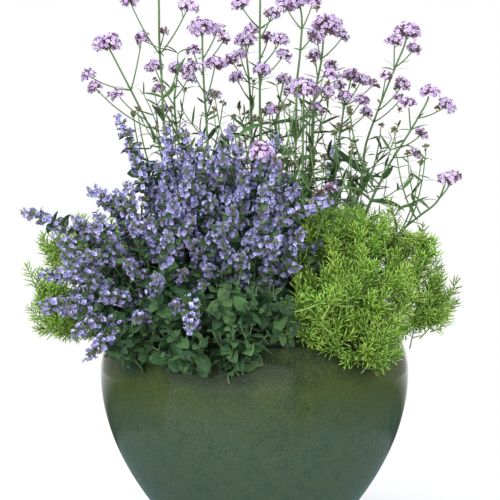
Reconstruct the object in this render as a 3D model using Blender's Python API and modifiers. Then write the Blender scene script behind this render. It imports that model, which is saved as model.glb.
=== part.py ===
"""Potted verbena: a round-bellied glazed pot planted with tall verbena, catmint and stonecrop.

Metres, +Z up. The origin is the centre of the pot's underside; -Y is the front.
"""

import math

import bmesh
import bpy
from mathutils import Matrix, Vector

# Glazed pot
POT_HEIGHT = 0.335
BELLY_RADIUS = 0.225
BELLY_HEIGHT = 0.262
RIM_RADIUS = 0.200
FOOT_RADIUS = 0.122
FOOT_HEIGHT = 0.032
POT_WALL = 0.012
POT_FLOOR = 0.015
LIP_RADIUS = 0.008
DRAIN_RADIUS = 0.010
DRAIN_CIRCLE_RADIUS = 0.048
DRAIN_COUNT = 3
POT_STEPS = 40
WALL_POINTS = 5

# Potting soil
SOIL_BELOW_RIM = 0.030

# Clearances between pieces that touch
GAP = 0.0003
FOLIAGE_GAP = 0.0008

# Verbena
STEM_RADIUS = 0.0024
STEM_TOP_RADIUS = 0.0017
AXIS_TOP_RADIUS = 0.0014
BRANCH_RADIUS = 0.0010
STEM_UPRIGHT = 0.012
JOINT_STUB = 0.005
LEAF_LENGTH = 0.045
LEAF_WIDTH = 0.0080
LEAF_THICKNESS = 0.0014
LEAF_SPACING = 0.058
LEAVES_START = 0.165
LEAF_TURN = 1.5
LEAF_RISE = 0.9
BARE_STEM_TOP = 0.010
STEM_LEAN_POWER = 1.4
HEAD_FLATNESS = 0.72
HEAD_DEPTH_SWING = 0.016
HEAD_SWING_STEP = 2.4
LONG_BRANCH = 0.040
BRANCH_SAG = 0.12

# Catmint
SPIKE_RADIUS = 0.0135
SPIKE_TIP_RADIUS = 0.0050
SPIKE_STALK_RADIUS = 0.0018
SPIKE_SHARE = 0.56
SPIKE_SHOULDER = 0.14
SPIKE_STARTS = 0.12
SPIKE_BOW = 0.10

# Mounds of foliage
LOBE_FLATNESS = 0.78
SHOOT_RADIUS = 0.0075
SHOOT_LENGTH = 0.046
SHOOT_COUNT = 10
SHOOT_RISE = 0.7

GOLDEN_ANGLE = math.radians(137.5)
SHARP_EDGE = math.radians(35)

# Each verbena stem, with x and y across the soil and heights above the soil: its base, how far back
# its top stands, the bends of its leafy part, the bends of its flowering top, and its flower heads as
# (x, height, radius, height of the fork that carries it). The first head ends the stem.
VERBENA = {
    "01": {
        "base": (-0.062, 0.030), "top_y": 0.060,
        "leafy": [(-0.105, 0.195), (-0.144, 0.291), (-0.150, 0.301)],
        "flowering": [(-0.184, 0.366), (-0.210, 0.416), (-0.217, 0.430)],
        "heads": [(-0.218, 0.436, 0.020, None), (-0.249, 0.389, 0.012, 0.366),
                  (-0.166, 0.442, 0.012, 0.366), (-0.239, 0.371, 0.012, 0.309),
                  (-0.204, 0.360, 0.011, 0.322)],
    },
    "02": {
        "base": (-0.075, -0.005), "top_y": -0.020,
        "leafy": [(-0.110, 0.145), (-0.128, 0.275), (-0.134, 0.385)],
        "flowering": [(-0.136, 0.414), (-0.137, 0.494), (-0.139, 0.563)],
        "heads": [(-0.140, 0.571, 0.020, None), (-0.180, 0.492, 0.014, 0.414),
                  (-0.094, 0.480, 0.014, 0.414), (-0.165, 0.553, 0.013, 0.500),
                  (-0.112, 0.557, 0.013, 0.500), (-0.129, 0.445, 0.008, 0.422)],
    },
    "03": {
        "base": (-0.030, 0.062), "top_y": 0.110,
        "leafy": [(-0.075, 0.145), (-0.112, 0.275), (-0.118, 0.308)],
        "flowering": [(-0.122, 0.355), (-0.118, 0.395)],
        "heads": [(-0.118, 0.402, 0.014, None), (-0.153, 0.405, 0.014, 0.345),
                  (-0.144, 0.370, 0.011, 0.325), (-0.101, 0.389, 0.012, 0.355),
                  (-0.142, 0.338, 0.011, 0.316)],
    },
    "04": {
        "base": (-0.036, 0.012), "top_y": 0.016,
        "leafy": [(-0.055, 0.145), (-0.068, 0.275), (-0.070, 0.315)],
        "flowering": [(-0.074, 0.375), (-0.076, 0.440)],
        "heads": [(-0.076, 0.453, 0.021, None), (-0.054, 0.452, 0.013, 0.410),
                  (-0.044, 0.436, 0.010, 0.400), (-0.090, 0.422, 0.011, 0.385),
                  (-0.092, 0.397, 0.012, 0.360), (-0.057, 0.401, 0.016, 0.345),
                  (-0.061, 0.358, 0.011, 0.325)],
    },
    "05": {
        "base": (0.000, 0.050), "top_y": 0.130,
        "leafy": [(-0.003, 0.145), (-0.004, 0.275), (-0.005, 0.335)],
        "flowering": [(-0.008, 0.385), (-0.013, 0.435)],
        "heads": [(-0.014, 0.447, 0.017, None), (-0.004, 0.464, 0.012, 0.425),
                  (-0.022, 0.422, 0.012, 0.385), (-0.035, 0.416, 0.013, 0.380),
                  (-0.027, 0.388, 0.012, 0.352)],
    },
    "06": {
        "base": (0.018, 0.004), "top_y": 0.040,
        "leafy": [(0.012, 0.145), (0.009, 0.275), (0.008, 0.335)],
        "flowering": [(0.008, 0.395), (0.008, 0.459), (0.009, 0.525), (0.010, 0.567)],
        "heads": [(0.010, 0.575, 0.020, None), (-0.020, 0.557, 0.013, 0.510),
                  (0.038, 0.561, 0.013, 0.510), (-0.021, 0.492, 0.013, 0.455),
                  (0.047, 0.490, 0.016, 0.455), (0.026, 0.475, 0.012, 0.440),
                  (0.021, 0.443, 0.011, 0.410), (0.039, 0.437, 0.012, 0.398),
                  (0.043, 0.416, 0.012, 0.380), (0.012, 0.394, 0.014, 0.365)],
    },
    "07": {
        "base": (0.036, 0.062), "top_y": 0.150,
        "leafy": [(0.034, 0.145), (0.033, 0.255), (0.033, 0.295)],
        "flowering": [(0.036, 0.335), (0.044, 0.375)],
        "heads": [(0.046, 0.387, 0.013, None), (0.056, 0.371, 0.010, 0.340),
                  (0.026, 0.338, 0.012, 0.308)],
    },
    "08": {
        "base": (0.040, 0.018), "top_y": -0.010,
        "leafy": [(0.055, 0.145), (0.060, 0.275), (0.061, 0.370)],
        "flowering": [(0.066, 0.420), (0.067, 0.474)],
        "heads": [(0.063, 0.492, 0.021, None), (0.045, 0.485, 0.013, 0.450),
                  (0.083, 0.487, 0.012, 0.450), (0.085, 0.444, 0.009, 0.420)],
    },
    "09": {
        "base": (0.064, 0.042), "top_y": 0.085,
        "leafy": [(0.078, 0.145), (0.086, 0.295), (0.091, 0.359)],
        "flowering": [(0.102, 0.417), (0.106, 0.450)],
        "heads": [(0.111, 0.463, 0.024, None), (0.134, 0.449, 0.011, 0.415),
                  (0.094, 0.442, 0.011, 0.410), (0.092, 0.420, 0.012, 0.385),
                  (0.115, 0.403, 0.012, 0.375)],
    },
    "10": {
        "base": (0.052, -0.022), "top_y": -0.035,
        "leafy": [(0.066, 0.145), (0.069, 0.255), (0.069, 0.295)],
        "flowering": [(0.070, 0.345)],
        "heads": [(0.070, 0.363, 0.021, None), (0.103, 0.360, 0.012, 0.320),
                  (0.108, 0.382, 0.012, 0.330), (0.088, 0.337, 0.011, 0.305)],
    },
    "11": {
        "base": (0.080, 0.014), "top_y": 0.120,
        "leafy": [(0.095, 0.115), (0.117, 0.247), (0.129, 0.295)],
        "flowering": [(0.139, 0.349), (0.148, 0.383)],
        "heads": [(0.149, 0.392, 0.014, None), (0.165, 0.385, 0.013, 0.345),
                  (0.181, 0.377, 0.010, 0.345), (0.131, 0.375, 0.010, 0.340),
                  (0.137, 0.359, 0.012, 0.325), (0.163, 0.353, 0.012, 0.315),
                  (0.172, 0.334, 0.011, 0.304)],
    },
    "12": {
        "base": (0.094, 0.040), "top_y": 0.050,
        "leafy": [(0.125, 0.115), (0.156, 0.215), (0.166, 0.285)],
        "flowering": [(0.185, 0.339), (0.211, 0.404), (0.225, 0.440)],
        "heads": [(0.227, 0.452, 0.019, None), (0.238, 0.428, 0.011, 0.400),
                  (0.206, 0.437, 0.012, 0.395), (0.222, 0.375, 0.013, 0.335),
                  (0.195, 0.386, 0.010, 0.345), (0.216, 0.352, 0.011, 0.318)],
    },
    "13": {
        "base": (0.100, 0.004), "top_y": -0.030,
        "leafy": [(0.135, 0.115), (0.173, 0.212), (0.196, 0.259)],
        "flowering": [(0.204, 0.272), (0.236, 0.326), (0.248, 0.350)],
        "heads": [(0.250, 0.359, 0.014, None), (0.277, 0.341, 0.013, 0.322),
                  (0.219, 0.343, 0.011, 0.305), (0.242, 0.300, 0.010, 0.280),
                  (0.232, 0.272, 0.009, 0.266)],
    },
    "14": {
        "base": (0.098, -0.034), "top_y": -0.070,
        "leafy": [(0.160, 0.095), (0.213, 0.167), (0.235, 0.185)],
        "flowering": [(0.258, 0.205), (0.266, 0.225)],
        "heads": [(0.268, 0.235, 0.013, None), (0.283, 0.240, 0.010, 0.208)],
    },
    "15": {
        "base": (0.004, -0.046), "top_y": -0.140,
        "leafy": [(0.004, 0.115), (0.007, 0.195), (0.007, 0.220)],
        "flowering": [(0.008, 0.257)],
        "heads": [(0.008, 0.273, 0.018, None), (0.030, 0.258, 0.009, 0.230)],
    },
    "16": {
        "base": (0.062, -0.058), "top_y": -0.135,
        "leafy": [(0.078, 0.115), (0.092, 0.175), (0.097, 0.195)],
        "flowering": [(0.100, 0.215)],
        "heads": [(0.101, 0.224, 0.010, None), (0.088, 0.216, 0.008, 0.202)],
    },
}

# Foliage lobes as (angle around the pot in degrees, distance out, height over the rim, radius). The
# lobes inside are placed from the rim circle and those that spill over it from the belly's, and angle
# -90 is the front.
CATMINT_LEAVES = {
    "front": {
        "inside": [(-152, -0.030, 0.040, 0.074), (-128, -0.030, 0.048, 0.080), (-104, -0.028, 0.038, 0.074),
                   (-82, -0.036, 0.026, 0.062), (-122, -0.090, 0.066, 0.080)],
        "spilling": [(-136, -0.009, -0.004, 0.052), (-114, -0.007, -0.008, 0.050),
                     (-94, -0.009, -0.008, 0.048)],
    },
    "back": {
        "inside": [(36, -0.030, 0.036, 0.066), (56, -0.028, 0.046, 0.074), (76, -0.034, 0.030, 0.062)],
        "spilling": [(54, -0.011, -0.002, 0.046)],
    },
}
STONECROP = {
    "right": {
        "inside": [(-62, -0.026, 0.026, 0.060), (-40, -0.020, 0.046, 0.084), (-12, -0.014, 0.060, 0.088),
                   (-32, -0.060, 0.112, 0.074)],
        "spilling": [(-50, -0.007, -0.010, 0.052), (-18, 0.010, 0.030, 0.062)],
    },
    "left": {
        "inside": [(186, -0.020, 0.030, 0.062), (170, -0.020, 0.064, 0.074)],
        "spilling": [(178, 0.019, 0.092, 0.068), (188, 0.031, 0.022, 0.060), (166, 0.003, 0.000, 0.052)],
    },
    "back": {
        "inside": [(104, -0.030, 0.028, 0.066), (124, -0.026, 0.038, 0.072), (144, -0.030, 0.030, 0.064)],
        "spilling": [(114, -0.009, -0.004, 0.046), (134, -0.007, -0.004, 0.046)],
    },
}

# Catmint flower spikes: the crown that they spring from and the tip of each, as (x, y, height over the
# rim).
CATMINT_SPIKES = {
    "front": {
        "crown": (-0.085, -0.110, 0.050),
        "tips": [(-0.330, -0.060, 0.160), (-0.196, -0.030, 0.296), (-0.124, -0.090, 0.280),
                 (-0.031, -0.084, 0.280), (0.034, -0.090, 0.262), (0.104, -0.170, 0.180),
                 (-0.230, -0.110, 0.190), (-0.286, -0.160, 0.030), (-0.219, -0.224, -0.026),
                 (-0.082, -0.285, 0.020), (-0.160, -0.215, 0.150), (-0.040, -0.225, 0.150),
                 (-0.090, -0.165, 0.225), (-0.236, -0.180, 0.105), (0.036, -0.215, 0.130)],
    },
    "back": {
        "crown": (0.095, 0.130, 0.050),
        "tips": [(0.250, 0.150, 0.110), (0.180, 0.235, 0.160), (0.060, 0.255, 0.160),
                 (0.128, 0.170, 0.255)],
    },
}

COLOURS = {
    "pot_glaze": ((0.040, 0.062, 0.034, 1.0), 0.10),
    "potting_soil": ((0.030, 0.020, 0.013, 1.0), 0.95),
    "verbena_green": ((0.090, 0.170, 0.070, 1.0), 0.60),
    "verbena_flower": ((0.470, 0.330, 0.640, 1.0), 0.65),
    "catmint_leaf": ((0.070, 0.120, 0.060, 1.0), 0.70),
    "catmint_flower": ((0.260, 0.235, 0.620, 1.0), 0.65),
    "stonecrop_leaf": ((0.200, 0.380, 0.040, 1.0), 0.50),
}

SOIL_LEVEL = POT_HEIGHT - SOIL_BELOW_RIM


def clear_scene():
    for old in list(bpy.data.objects):
        bpy.data.objects.remove(old)


def new_collection(name):
    collection = bpy.data.collections.new(name)
    bpy.context.scene.collection.children.link(collection)
    return collection


def new_material(name):
    colour, roughness = COLOURS[name]
    material = bpy.data.materials.new(name)
    material.use_nodes = True
    shader = material.node_tree.nodes["Principled BSDF"]
    shader.inputs["Base Color"].default_value = colour
    shader.inputs["Roughness"].default_value = roughness
    shader.inputs["Metallic"].default_value = 0.0
    material.diffuse_color = colour
    return material


def object_from_bmesh(name, mesh_data):
    mesh = bpy.data.meshes.new(name)
    mesh_data.to_mesh(mesh)
    mesh_data.free()
    made = bpy.data.objects.new(name, mesh)
    SHAPES.objects.link(made)
    return made


def evaluated_mesh(source):
    depsgraph = bpy.context.evaluated_depsgraph_get()
    depsgraph.update()
    return bpy.data.meshes.new_from_object(source.evaluated_get(depsgraph))


def finish_piece(made, name, material, round_piece=True):
    """Name a finished shape, give it its material and hang it on the pot's empty."""
    made.name = name
    made.data.name = name
    made.data.materials.clear()
    made.data.materials.append(MATERIALS[material])
    if round_piece:
        made.data.shade_smooth()
        made.data.set_sharp_from_angle(angle=SHARP_EDGE)
    for holder in list(made.users_collection):
        holder.objects.unlink(made)
    PIECES.objects.link(made)
    made.parent = PLANTING
    return made


def combine(name, first, others, operation, solver="EXACT"):
    """First joined with the others, or cut by them, as one plain mesh object."""
    tools = bpy.data.collections.new(name + "_tools")
    bpy.context.scene.collection.children.link(tools)
    for other in others:
        tools.objects.link(other)
    join = first.modifiers.new(operation.lower(), "BOOLEAN")
    join.operation = operation
    join.solver = solver
    join.operand_type = "COLLECTION"
    join.collection = tools
    mesh = evaluated_mesh(first)
    made = bpy.data.objects.new(name, mesh)
    made.matrix_world = first.matrix_world
    SHAPES.objects.link(made)
    bpy.data.collections.remove(tools)
    bpy.data.objects.remove(first)
    for other in others:
        bpy.data.objects.remove(other)
    return made


def unite(name, shapes):
    return combine(name, shapes[0], shapes[1:], "UNION") if len(shapes) > 1 else shapes[0]


def settled(source):
    """The shape that an object's modifiers make, as a plain mesh object."""
    made = bpy.data.objects.new(source.name, evaluated_mesh(source))
    SHAPES.objects.link(made)
    bpy.data.objects.remove(source)
    return made


def swollen_copy(source, amount):
    """A copy that stands proud of the source all over, to cut the clearance round it."""
    copy = bpy.data.objects.new(source.name + "_clearance", source.data.copy())
    SHAPES.objects.link(copy)
    push = copy.modifiers.new("clearance", "DISPLACE")
    push.strength = amount
    push.mid_level = 0.0
    return settled(copy)


def box_of(made):
    points = [made.matrix_world @ vertex.co for vertex in made.data.vertices]
    return [(min(point[axis] for point in points), max(point[axis] for point in points)) for axis in range(3)]


def near(one, other):
    """Whether the boxes of two shapes come within twice the foliage gap of each other."""
    reach = 2 * FOLIAGE_GAP
    return all(a[0] - reach < b[1] and b[0] < a[1] + reach for a, b in zip(box_of(one), box_of(other)))


def cut_clear_of(name, shape, neighbours):
    """Trim a shape where its neighbours stand, and a little round them.

    The clearance copies run close beside the neighbours, where EXACT leaves open edges.
    """
    cutters = []
    for other in neighbours:
        if near(shape, other):
            cutters += [swollen_copy(other, amount) for amount in (0.0, FOLIAGE_GAP)]
    return combine(name, shape, cutters, "DIFFERENCE", "MANIFOLD") if cutters else shape


def turned(name, profile):
    """A body turned about Z from its profile, which runs down the outer side."""
    outline = bmesh.new()
    corners = [outline.verts.new((radius, 0.0, height)) for radius, height in profile]
    for start, end in zip(corners, corners[1:]):
        outline.edges.new((start, end))
    body = object_from_bmesh(name, outline)
    screw = body.modifiers.new("turn", "SCREW")
    screw.axis = "Z"
    screw.angle = math.tau
    screw.steps = POT_STEPS
    screw.render_steps = POT_STEPS
    screw.use_merge_vertices = True
    screw.merge_threshold = 0.0001
    return settled(body)


def tube(name, points, radii, sides=4):
    """A tapered stem along a bent line, with closed ends."""
    curve = bpy.data.curves.new(name, "CURVE")
    curve.dimensions = "3D"
    curve.bevel_depth = radii[0]
    curve.bevel_resolution = (sides - 4) // 2
    curve.render_resolution_u = 0
    curve.use_fill_caps = True
    line = curve.splines.new("POLY")
    line.points.add(len(points) - 1)
    for corner, point, radius in zip(line.points, points, radii):
        corner.co = (*point, 1.0)
        corner.radius = radius / radii[0]
    drawn = bpy.data.objects.new(name, curve)
    SHAPES.objects.link(drawn)
    welded = bmesh.new()
    welded.from_mesh(evaluated_mesh(drawn))
    bmesh.ops.remove_doubles(welded, verts=welded.verts, dist=0.00005)
    made = object_from_bmesh(name, welded)
    made.matrix_world = drawn.matrix_world
    bpy.data.objects.remove(drawn)
    return made


def ball(name, centre, size, segments=6, rings=3):
    shape = bmesh.new()
    bmesh.ops.create_uvsphere(shape, u_segments=segments, v_segments=rings, radius=1.0)
    bmesh.ops.scale(shape, vec=size, verts=shape.verts)
    bmesh.ops.translate(shape, vec=centre, verts=shape.verts)
    return object_from_bmesh(name, shape)


def lobe(name, centre, radius):
    shape = bmesh.new()
    bmesh.ops.create_icosphere(shape, subdivisions=2, radius=radius)
    bmesh.ops.scale(shape, vec=(1.0, 1.0, LOBE_FLATNESS), verts=shape.verts)
    bmesh.ops.translate(shape, vec=centre, verts=shape.verts)
    return object_from_bmesh(name, shape)


def pointing(direction):
    """The rotation that turns +Z to a direction."""
    return Vector((0.0, 0.0, 1.0)).rotation_difference(direction).to_matrix().to_4x4()


def leaf(name, foot, direction):
    """A narrow pointed blade, its flat side up."""
    shape = bmesh.new()
    bmesh.ops.create_uvsphere(shape, u_segments=4, v_segments=2, radius=1.0)
    half_size = (LEAF_LENGTH / 2, LEAF_WIDTH / 2, LEAF_THICKNESS / 2)
    bmesh.ops.scale(shape, vec=half_size, verts=shape.verts)
    bmesh.ops.translate(shape, vec=(LEAF_LENGTH / 2 - STEM_RADIUS, 0.0, 0.0), verts=shape.verts)
    turn = direction.to_track_quat("X", "Z").to_matrix().to_4x4()
    bmesh.ops.transform(shape, matrix=Matrix.Translation(foot) @ turn, verts=shape.verts)
    return object_from_bmesh(name, shape)


def outer_radius(height):
    """The pot's outer radius: a round belly that draws in to the foot below and the rim above."""
    if height >= BELLY_HEIGHT:
        share = (height - BELLY_HEIGHT) / (POT_HEIGHT - BELLY_HEIGHT)
        return BELLY_RADIUS - (BELLY_RADIUS - RIM_RADIUS) * share ** 2
    share = min(1.0, (BELLY_HEIGHT - height) / (BELLY_HEIGHT - FOOT_HEIGHT))
    return BELLY_RADIUS - (BELLY_RADIUS - FOOT_RADIUS) * share ** 2


def wall_heights(low, high, count):
    return [low + (high - low) * step / count for step in range(count + 1)]


def inner_wall():
    """The inside of the pot as radius and height, from the floor up to the lip."""
    heights = [POT_FLOOR] + wall_heights(FOOT_HEIGHT, BELLY_HEIGHT, WALL_POINTS)
    heights += wall_heights(BELLY_HEIGHT, POT_HEIGHT - 2 * LIP_RADIUS, 2)[1:]
    return [(outer_radius(height) - POT_WALL, height) for height in heights]


def below(wall, top):
    """The part of a rising wall below a height, ended on its own facet there."""
    kept = [point for point in wall if point[1] < top]
    low, high = wall[len(kept) - 1:len(kept) + 1]
    share = (top - low[1]) / (high[1] - low[1])
    return kept + [(low[0] + (high[0] - low[0]) * share, top)]


def pot_section():
    """The lip and the outside of the pot, from the top of the lip down to the underside."""
    centre_radius = RIM_RADIUS - LIP_RADIUS / 2
    centre_height = POT_HEIGHT - LIP_RADIUS
    lip = []
    for degrees in (180, 135, 90, 45, 0, -35):
        angle = math.radians(degrees)
        lip.append((centre_radius + LIP_RADIUS * math.cos(angle),
                    centre_height + LIP_RADIUS * math.sin(angle)))
    lowest = lip[-1][1] - LIP_RADIUS / 2
    shoulder = wall_heights(BELLY_HEIGHT, lowest, 2)[::-1]
    belly = wall_heights(FOOT_HEIGHT, BELLY_HEIGHT, WALL_POINTS)[::-1][1:]
    side = [(outer_radius(height), height) for height in shoulder + belly]
    return lip + side + [(FOOT_RADIUS, 0.0)]


def polar_point(angle, radius, height):
    return Vector((radius * math.cos(angle), radius * math.sin(angle), height))


def lobe_spots(lobes):
    """The angle, centre and radius of each foliage lobe."""
    spots = []
    for circle, group in ((RIM_RADIUS, "inside"), (BELLY_RADIUS, "spilling")):
        for degrees, out, up, radius in lobes[group]:
            angle = math.radians(degrees)
            spots.append((angle, polar_point(angle, circle + out, POT_HEIGHT + up), radius))
    return spots


def build_pot():
    pot = turned("pot", [(0.0, POT_FLOOR)] + inner_wall() + pot_section() + [(0.0, 0.0)])
    drills = []
    for step in range(DRAIN_COUNT):
        angle = math.tau * (step + 0.5) / DRAIN_COUNT
        shape = bmesh.new()
        bmesh.ops.create_cone(shape, cap_ends=True, segments=16, radius1=DRAIN_RADIUS,
                              radius2=DRAIN_RADIUS, depth=POT_FLOOR * 3)
        drill = object_from_bmesh("drain_drill", shape)
        drill.location = polar_point(angle, DRAIN_CIRCLE_RADIUS, POT_FLOOR / 2)
        drills.append(drill)
    return finish_piece(combine("pot", pot, drills, "DIFFERENCE"), "glazed_pot", "pot_glaze")


def build_soil():
    side = [(radius - GAP, height) for radius, height in below(inner_wall(), SOIL_LEVEL)]
    side[0] = (side[0][0], POT_FLOOR + GAP)
    soil = turned("potting_soil", [(0.0, SOIL_LEVEL)] + side[::-1] + [(0.0, POT_FLOOR + GAP)])
    return finish_piece(soil, "potting_soil", "potting_soil")


def stem_depth(plan, height):
    """How far back a stem is at a height above the soil."""
    top = plan["flowering"][-1][1]
    return plan["base"][1] + (plan["top_y"] - plan["base"][1]) * (height / top) ** STEM_LEAN_POWER


def stem_point(plan, x, height):
    return Vector((x, stem_depth(plan, height), SOIL_LEVEL + height))


def along(line, height):
    """The point of a rising line at a world height."""
    for low, high in zip(line, line[1:]):
        if height <= high.z:
            break
    share = (height - low.z) / (high.z - low.z)
    return low.lerp(high, max(0.0, min(1.0, share)))


def taper(count, start, end):
    return [start + (end - start) * step / (count - 1) for step in range(count)]


def build_verbena_stem(number, plan):
    """The leafy part of a stem, from the soil to its first fork, with opposite leaves."""
    foot = Vector((*plan["base"], SOIL_LEVEL + GAP))
    line = [foot, foot + Vector((0.0, 0.0, STEM_UPRIGHT))]
    line += [stem_point(plan, x, height) for x, height in plan["leafy"]]
    shapes = [tube("stem", line, taper(len(line), STEM_RADIUS, STEM_TOP_RADIUS))]
    height = LEAVES_START
    turn = LEAF_TURN * int(number)
    while SOIL_LEVEL + height < line[-1].z - BARE_STEM_TOP:
        node = along(line, SOIL_LEVEL + height)
        for side in (0.0, math.pi):
            direction = Vector((math.cos(turn + side), math.sin(turn + side), LEAF_RISE)).normalized()
            shapes.append(leaf("leaf", node, direction))
        height += LEAF_SPACING
        turn += math.pi / 2
    return finish_piece(unite("stem", shapes), "verbena_stem_" + number, "verbena_green", False)


def build_verbena_flowers(number, plan):
    """The flowering top of a stem: its branches and domed heads."""
    before, joint = (stem_point(plan, x, height) for x, height in plan["leafy"][-2:])
    onward = (joint - before).normalized()
    line = [joint + onward * GAP, joint + onward * JOINT_STUB]
    line += [stem_point(plan, x, height) for x, height in plan["flowering"]]
    line.append(stem_point(plan, *plan["heads"][0][:2]))
    shapes = [tube("axis", line, taper(len(line), STEM_TOP_RADIUS, AXIS_TOP_RADIUS))]
    for count, (x, height, radius, fork_height) in enumerate(plan["heads"]):
        head = stem_point(plan, x, height)
        if fork_height:
            fork = along(line, SOIL_LEVEL + fork_height)
            head.y = fork.y + HEAD_DEPTH_SWING * math.sin(HEAD_SWING_STEP * count)
            way = [fork, head]
            if (head - fork).length > LONG_BRANCH:
                elbow = fork.lerp(head, 0.5)
                elbow.z -= BRANCH_SAG * (head - fork).length
                way.insert(1, elbow)
            shapes.append(tube("branch", way, [BRANCH_RADIUS] * len(way)))
        shapes.append(ball("head", head, (radius, radius, radius * HEAD_FLATNESS)))
    return finish_piece(unite("flowers", shapes), "verbena_flowers_" + number, "verbena_flower", False)


def build_leaf_mound(place, lobes, neighbours):
    """A mound of catmint leaves that rests on the soil and spills over the rim."""
    shapes = [lobe("lobe", centre, radius) for angle, centre, radius in lobe_spots(lobes)]
    mound = cut_clear_of("mound", unite("mound", shapes), neighbours)
    return finish_piece(mound, "catmint_leaves_" + place, "catmint_leaf")


def build_spike(number, crown, tip, neighbours):
    """A catmint flower spike on its stalk, as one tapering body out of the leaf mound."""
    root = Vector((crown[0], crown[1], POT_HEIGHT + crown[2]))
    end = Vector((tip[0], tip[1], POT_HEIGHT + tip[2]))
    shoulder = SPIKE_SHARE * SPIKE_SHOULDER
    shares = (SPIKE_STARTS, 1 - SPIKE_SHARE, 1 - SPIKE_SHARE + shoulder, 1 - SPIKE_SHOULDER, 1.0)
    way = [root.lerp(end, share) for share in shares]
    bow = SPIKE_BOW * (end - root).length
    way[1].z += bow
    way[2].z += bow
    radii = [SPIKE_STALK_RADIUS, SPIKE_STALK_RADIUS, SPIKE_RADIUS, SPIKE_RADIUS, SPIKE_TIP_RADIUS]
    spike = tube("spike", way, radii, sides=6)
    spike = cut_clear_of("spike", spike, neighbours)
    return finish_piece(spike, "catmint_spike_%02d" % number, "catmint_flower")


def build_stonecrop(place, lobes, neighbours):
    """A cushion of stonecrop with short shoots standing out of it."""
    spots = lobe_spots(lobes)
    shapes = [lobe("lobe", centre, radius) for angle, centre, radius in spots]
    for count in range(SHOOT_COUNT):
        centre, radius = spots[count % len(spots)][1:]
        angle = GOLDEN_ANGLE * count + spots[0][0]
        direction = Vector((math.cos(angle), math.sin(angle), SHOOT_RISE)).normalized()
        shoot = bmesh.new()
        bmesh.ops.create_cone(shoot, cap_ends=True, segments=5, radius1=SHOOT_RADIUS,
                              radius2=SHOOT_RADIUS / 2, depth=SHOOT_LENGTH)
        place_at = Matrix.Translation(centre + direction * radius) @ pointing(direction)
        bmesh.ops.transform(shoot, matrix=place_at, verts=shoot.verts)
        shapes.append(object_from_bmesh("shoot", shoot))
    cushion = cut_clear_of("cushion", unite("cushion", shapes), neighbours)
    return finish_piece(cushion, "stonecrop_" + place, "stonecrop_leaf")


clear_scene()
PIECES = new_collection("potted_verbena")
SHAPES = new_collection("shapes")
MATERIALS = {name: new_material(name) for name in COLOURS}
PLANTING = bpy.data.objects.new("planting", None)
PIECES.objects.link(PLANTING)

planted = [build_pot(), build_soil()]
for stem_number, stem_plan in VERBENA.items():
    planted.append(build_verbena_stem(stem_number, stem_plan))
    planted.append(build_verbena_flowers(stem_number, stem_plan))
for mound_place, mound_lobes in CATMINT_LEAVES.items():
    planted.append(build_leaf_mound(mound_place, mound_lobes, planted))
spike_number = 0
for mound_place, spikes in CATMINT_SPIKES.items():
    for spike_tip in spikes["tips"]:
        spike_number += 1
        planted.append(build_spike(spike_number, spikes["crown"], spike_tip, planted))
for mound_place, mound_lobes in STONECROP.items():
    planted.append(build_stonecrop(mound_place, mound_lobes, planted))
bpy.data.collections.remove(SHAPES)
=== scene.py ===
import math

import bmesh
import bpy
import numpy as np
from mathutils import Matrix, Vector


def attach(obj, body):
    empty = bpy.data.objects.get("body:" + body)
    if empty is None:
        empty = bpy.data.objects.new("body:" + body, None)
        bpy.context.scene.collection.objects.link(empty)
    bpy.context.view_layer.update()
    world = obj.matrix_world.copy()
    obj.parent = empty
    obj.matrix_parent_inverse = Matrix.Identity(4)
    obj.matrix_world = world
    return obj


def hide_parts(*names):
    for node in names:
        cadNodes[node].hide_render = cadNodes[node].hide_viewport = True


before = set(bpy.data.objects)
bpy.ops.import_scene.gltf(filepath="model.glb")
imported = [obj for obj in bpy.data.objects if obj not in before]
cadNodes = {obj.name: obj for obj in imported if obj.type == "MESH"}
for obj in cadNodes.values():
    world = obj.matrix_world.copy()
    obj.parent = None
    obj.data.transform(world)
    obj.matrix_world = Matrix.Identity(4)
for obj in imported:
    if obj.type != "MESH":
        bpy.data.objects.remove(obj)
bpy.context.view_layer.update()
print("frame loaded:", len(cadNodes), "nodes")

tilesAcross = 8  # every copied leaf and petal reads one of 8 x 8 tiles of its piece's UV map
tileMargin = 0.06
petalTiles, budTiles = (0, 40), (40, 48)
leafTiles, smallLeafTiles, moundTiles = range(48, 64), range(48, 56), range(48)
stemTile, leafyStemTile = 56, 40
goldenAngle, quarterTurn = math.radians(137.508), math.radians(90.0)


# Small helpers for vectors kept in rows

def unit(rows):
    return rows / np.maximum(np.linalg.norm(rows, axis=-1, keepdims=True), 1e-9)


def basis(forward, upward):
    # turns a shape that grows along +Y, upper side +Z, to these directions
    forward = unit(np.asarray(forward, float))
    upward = np.broadcast_to(np.asarray(upward, float), forward.shape)
    side = unit(np.cross(forward, upward + 1e-6))
    return np.stack([side, forward, np.cross(side, forward)], axis=-1)


def anyWay(rng, count):
    return unit(rng.normal(size=(count, 3)))


def outFrom(along, turn, reference):
    # the way out of a stem at this turn around it
    side = unit(np.cross(along, reference))
    turn = np.asarray(turn)[..., None]
    return side * np.cos(turn) + np.cross(along, side) * np.sin(turn)


def runsOf(line):
    # how far along the line each of its points is
    return np.concatenate([[0.0], np.cumsum(np.linalg.norm(np.diff(line, axis=0), axis=1))])


def pointAt(line, runs, at):
    return np.stack([np.interp(at, runs, line[:, axis]) for axis in range(3)], -1)


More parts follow.
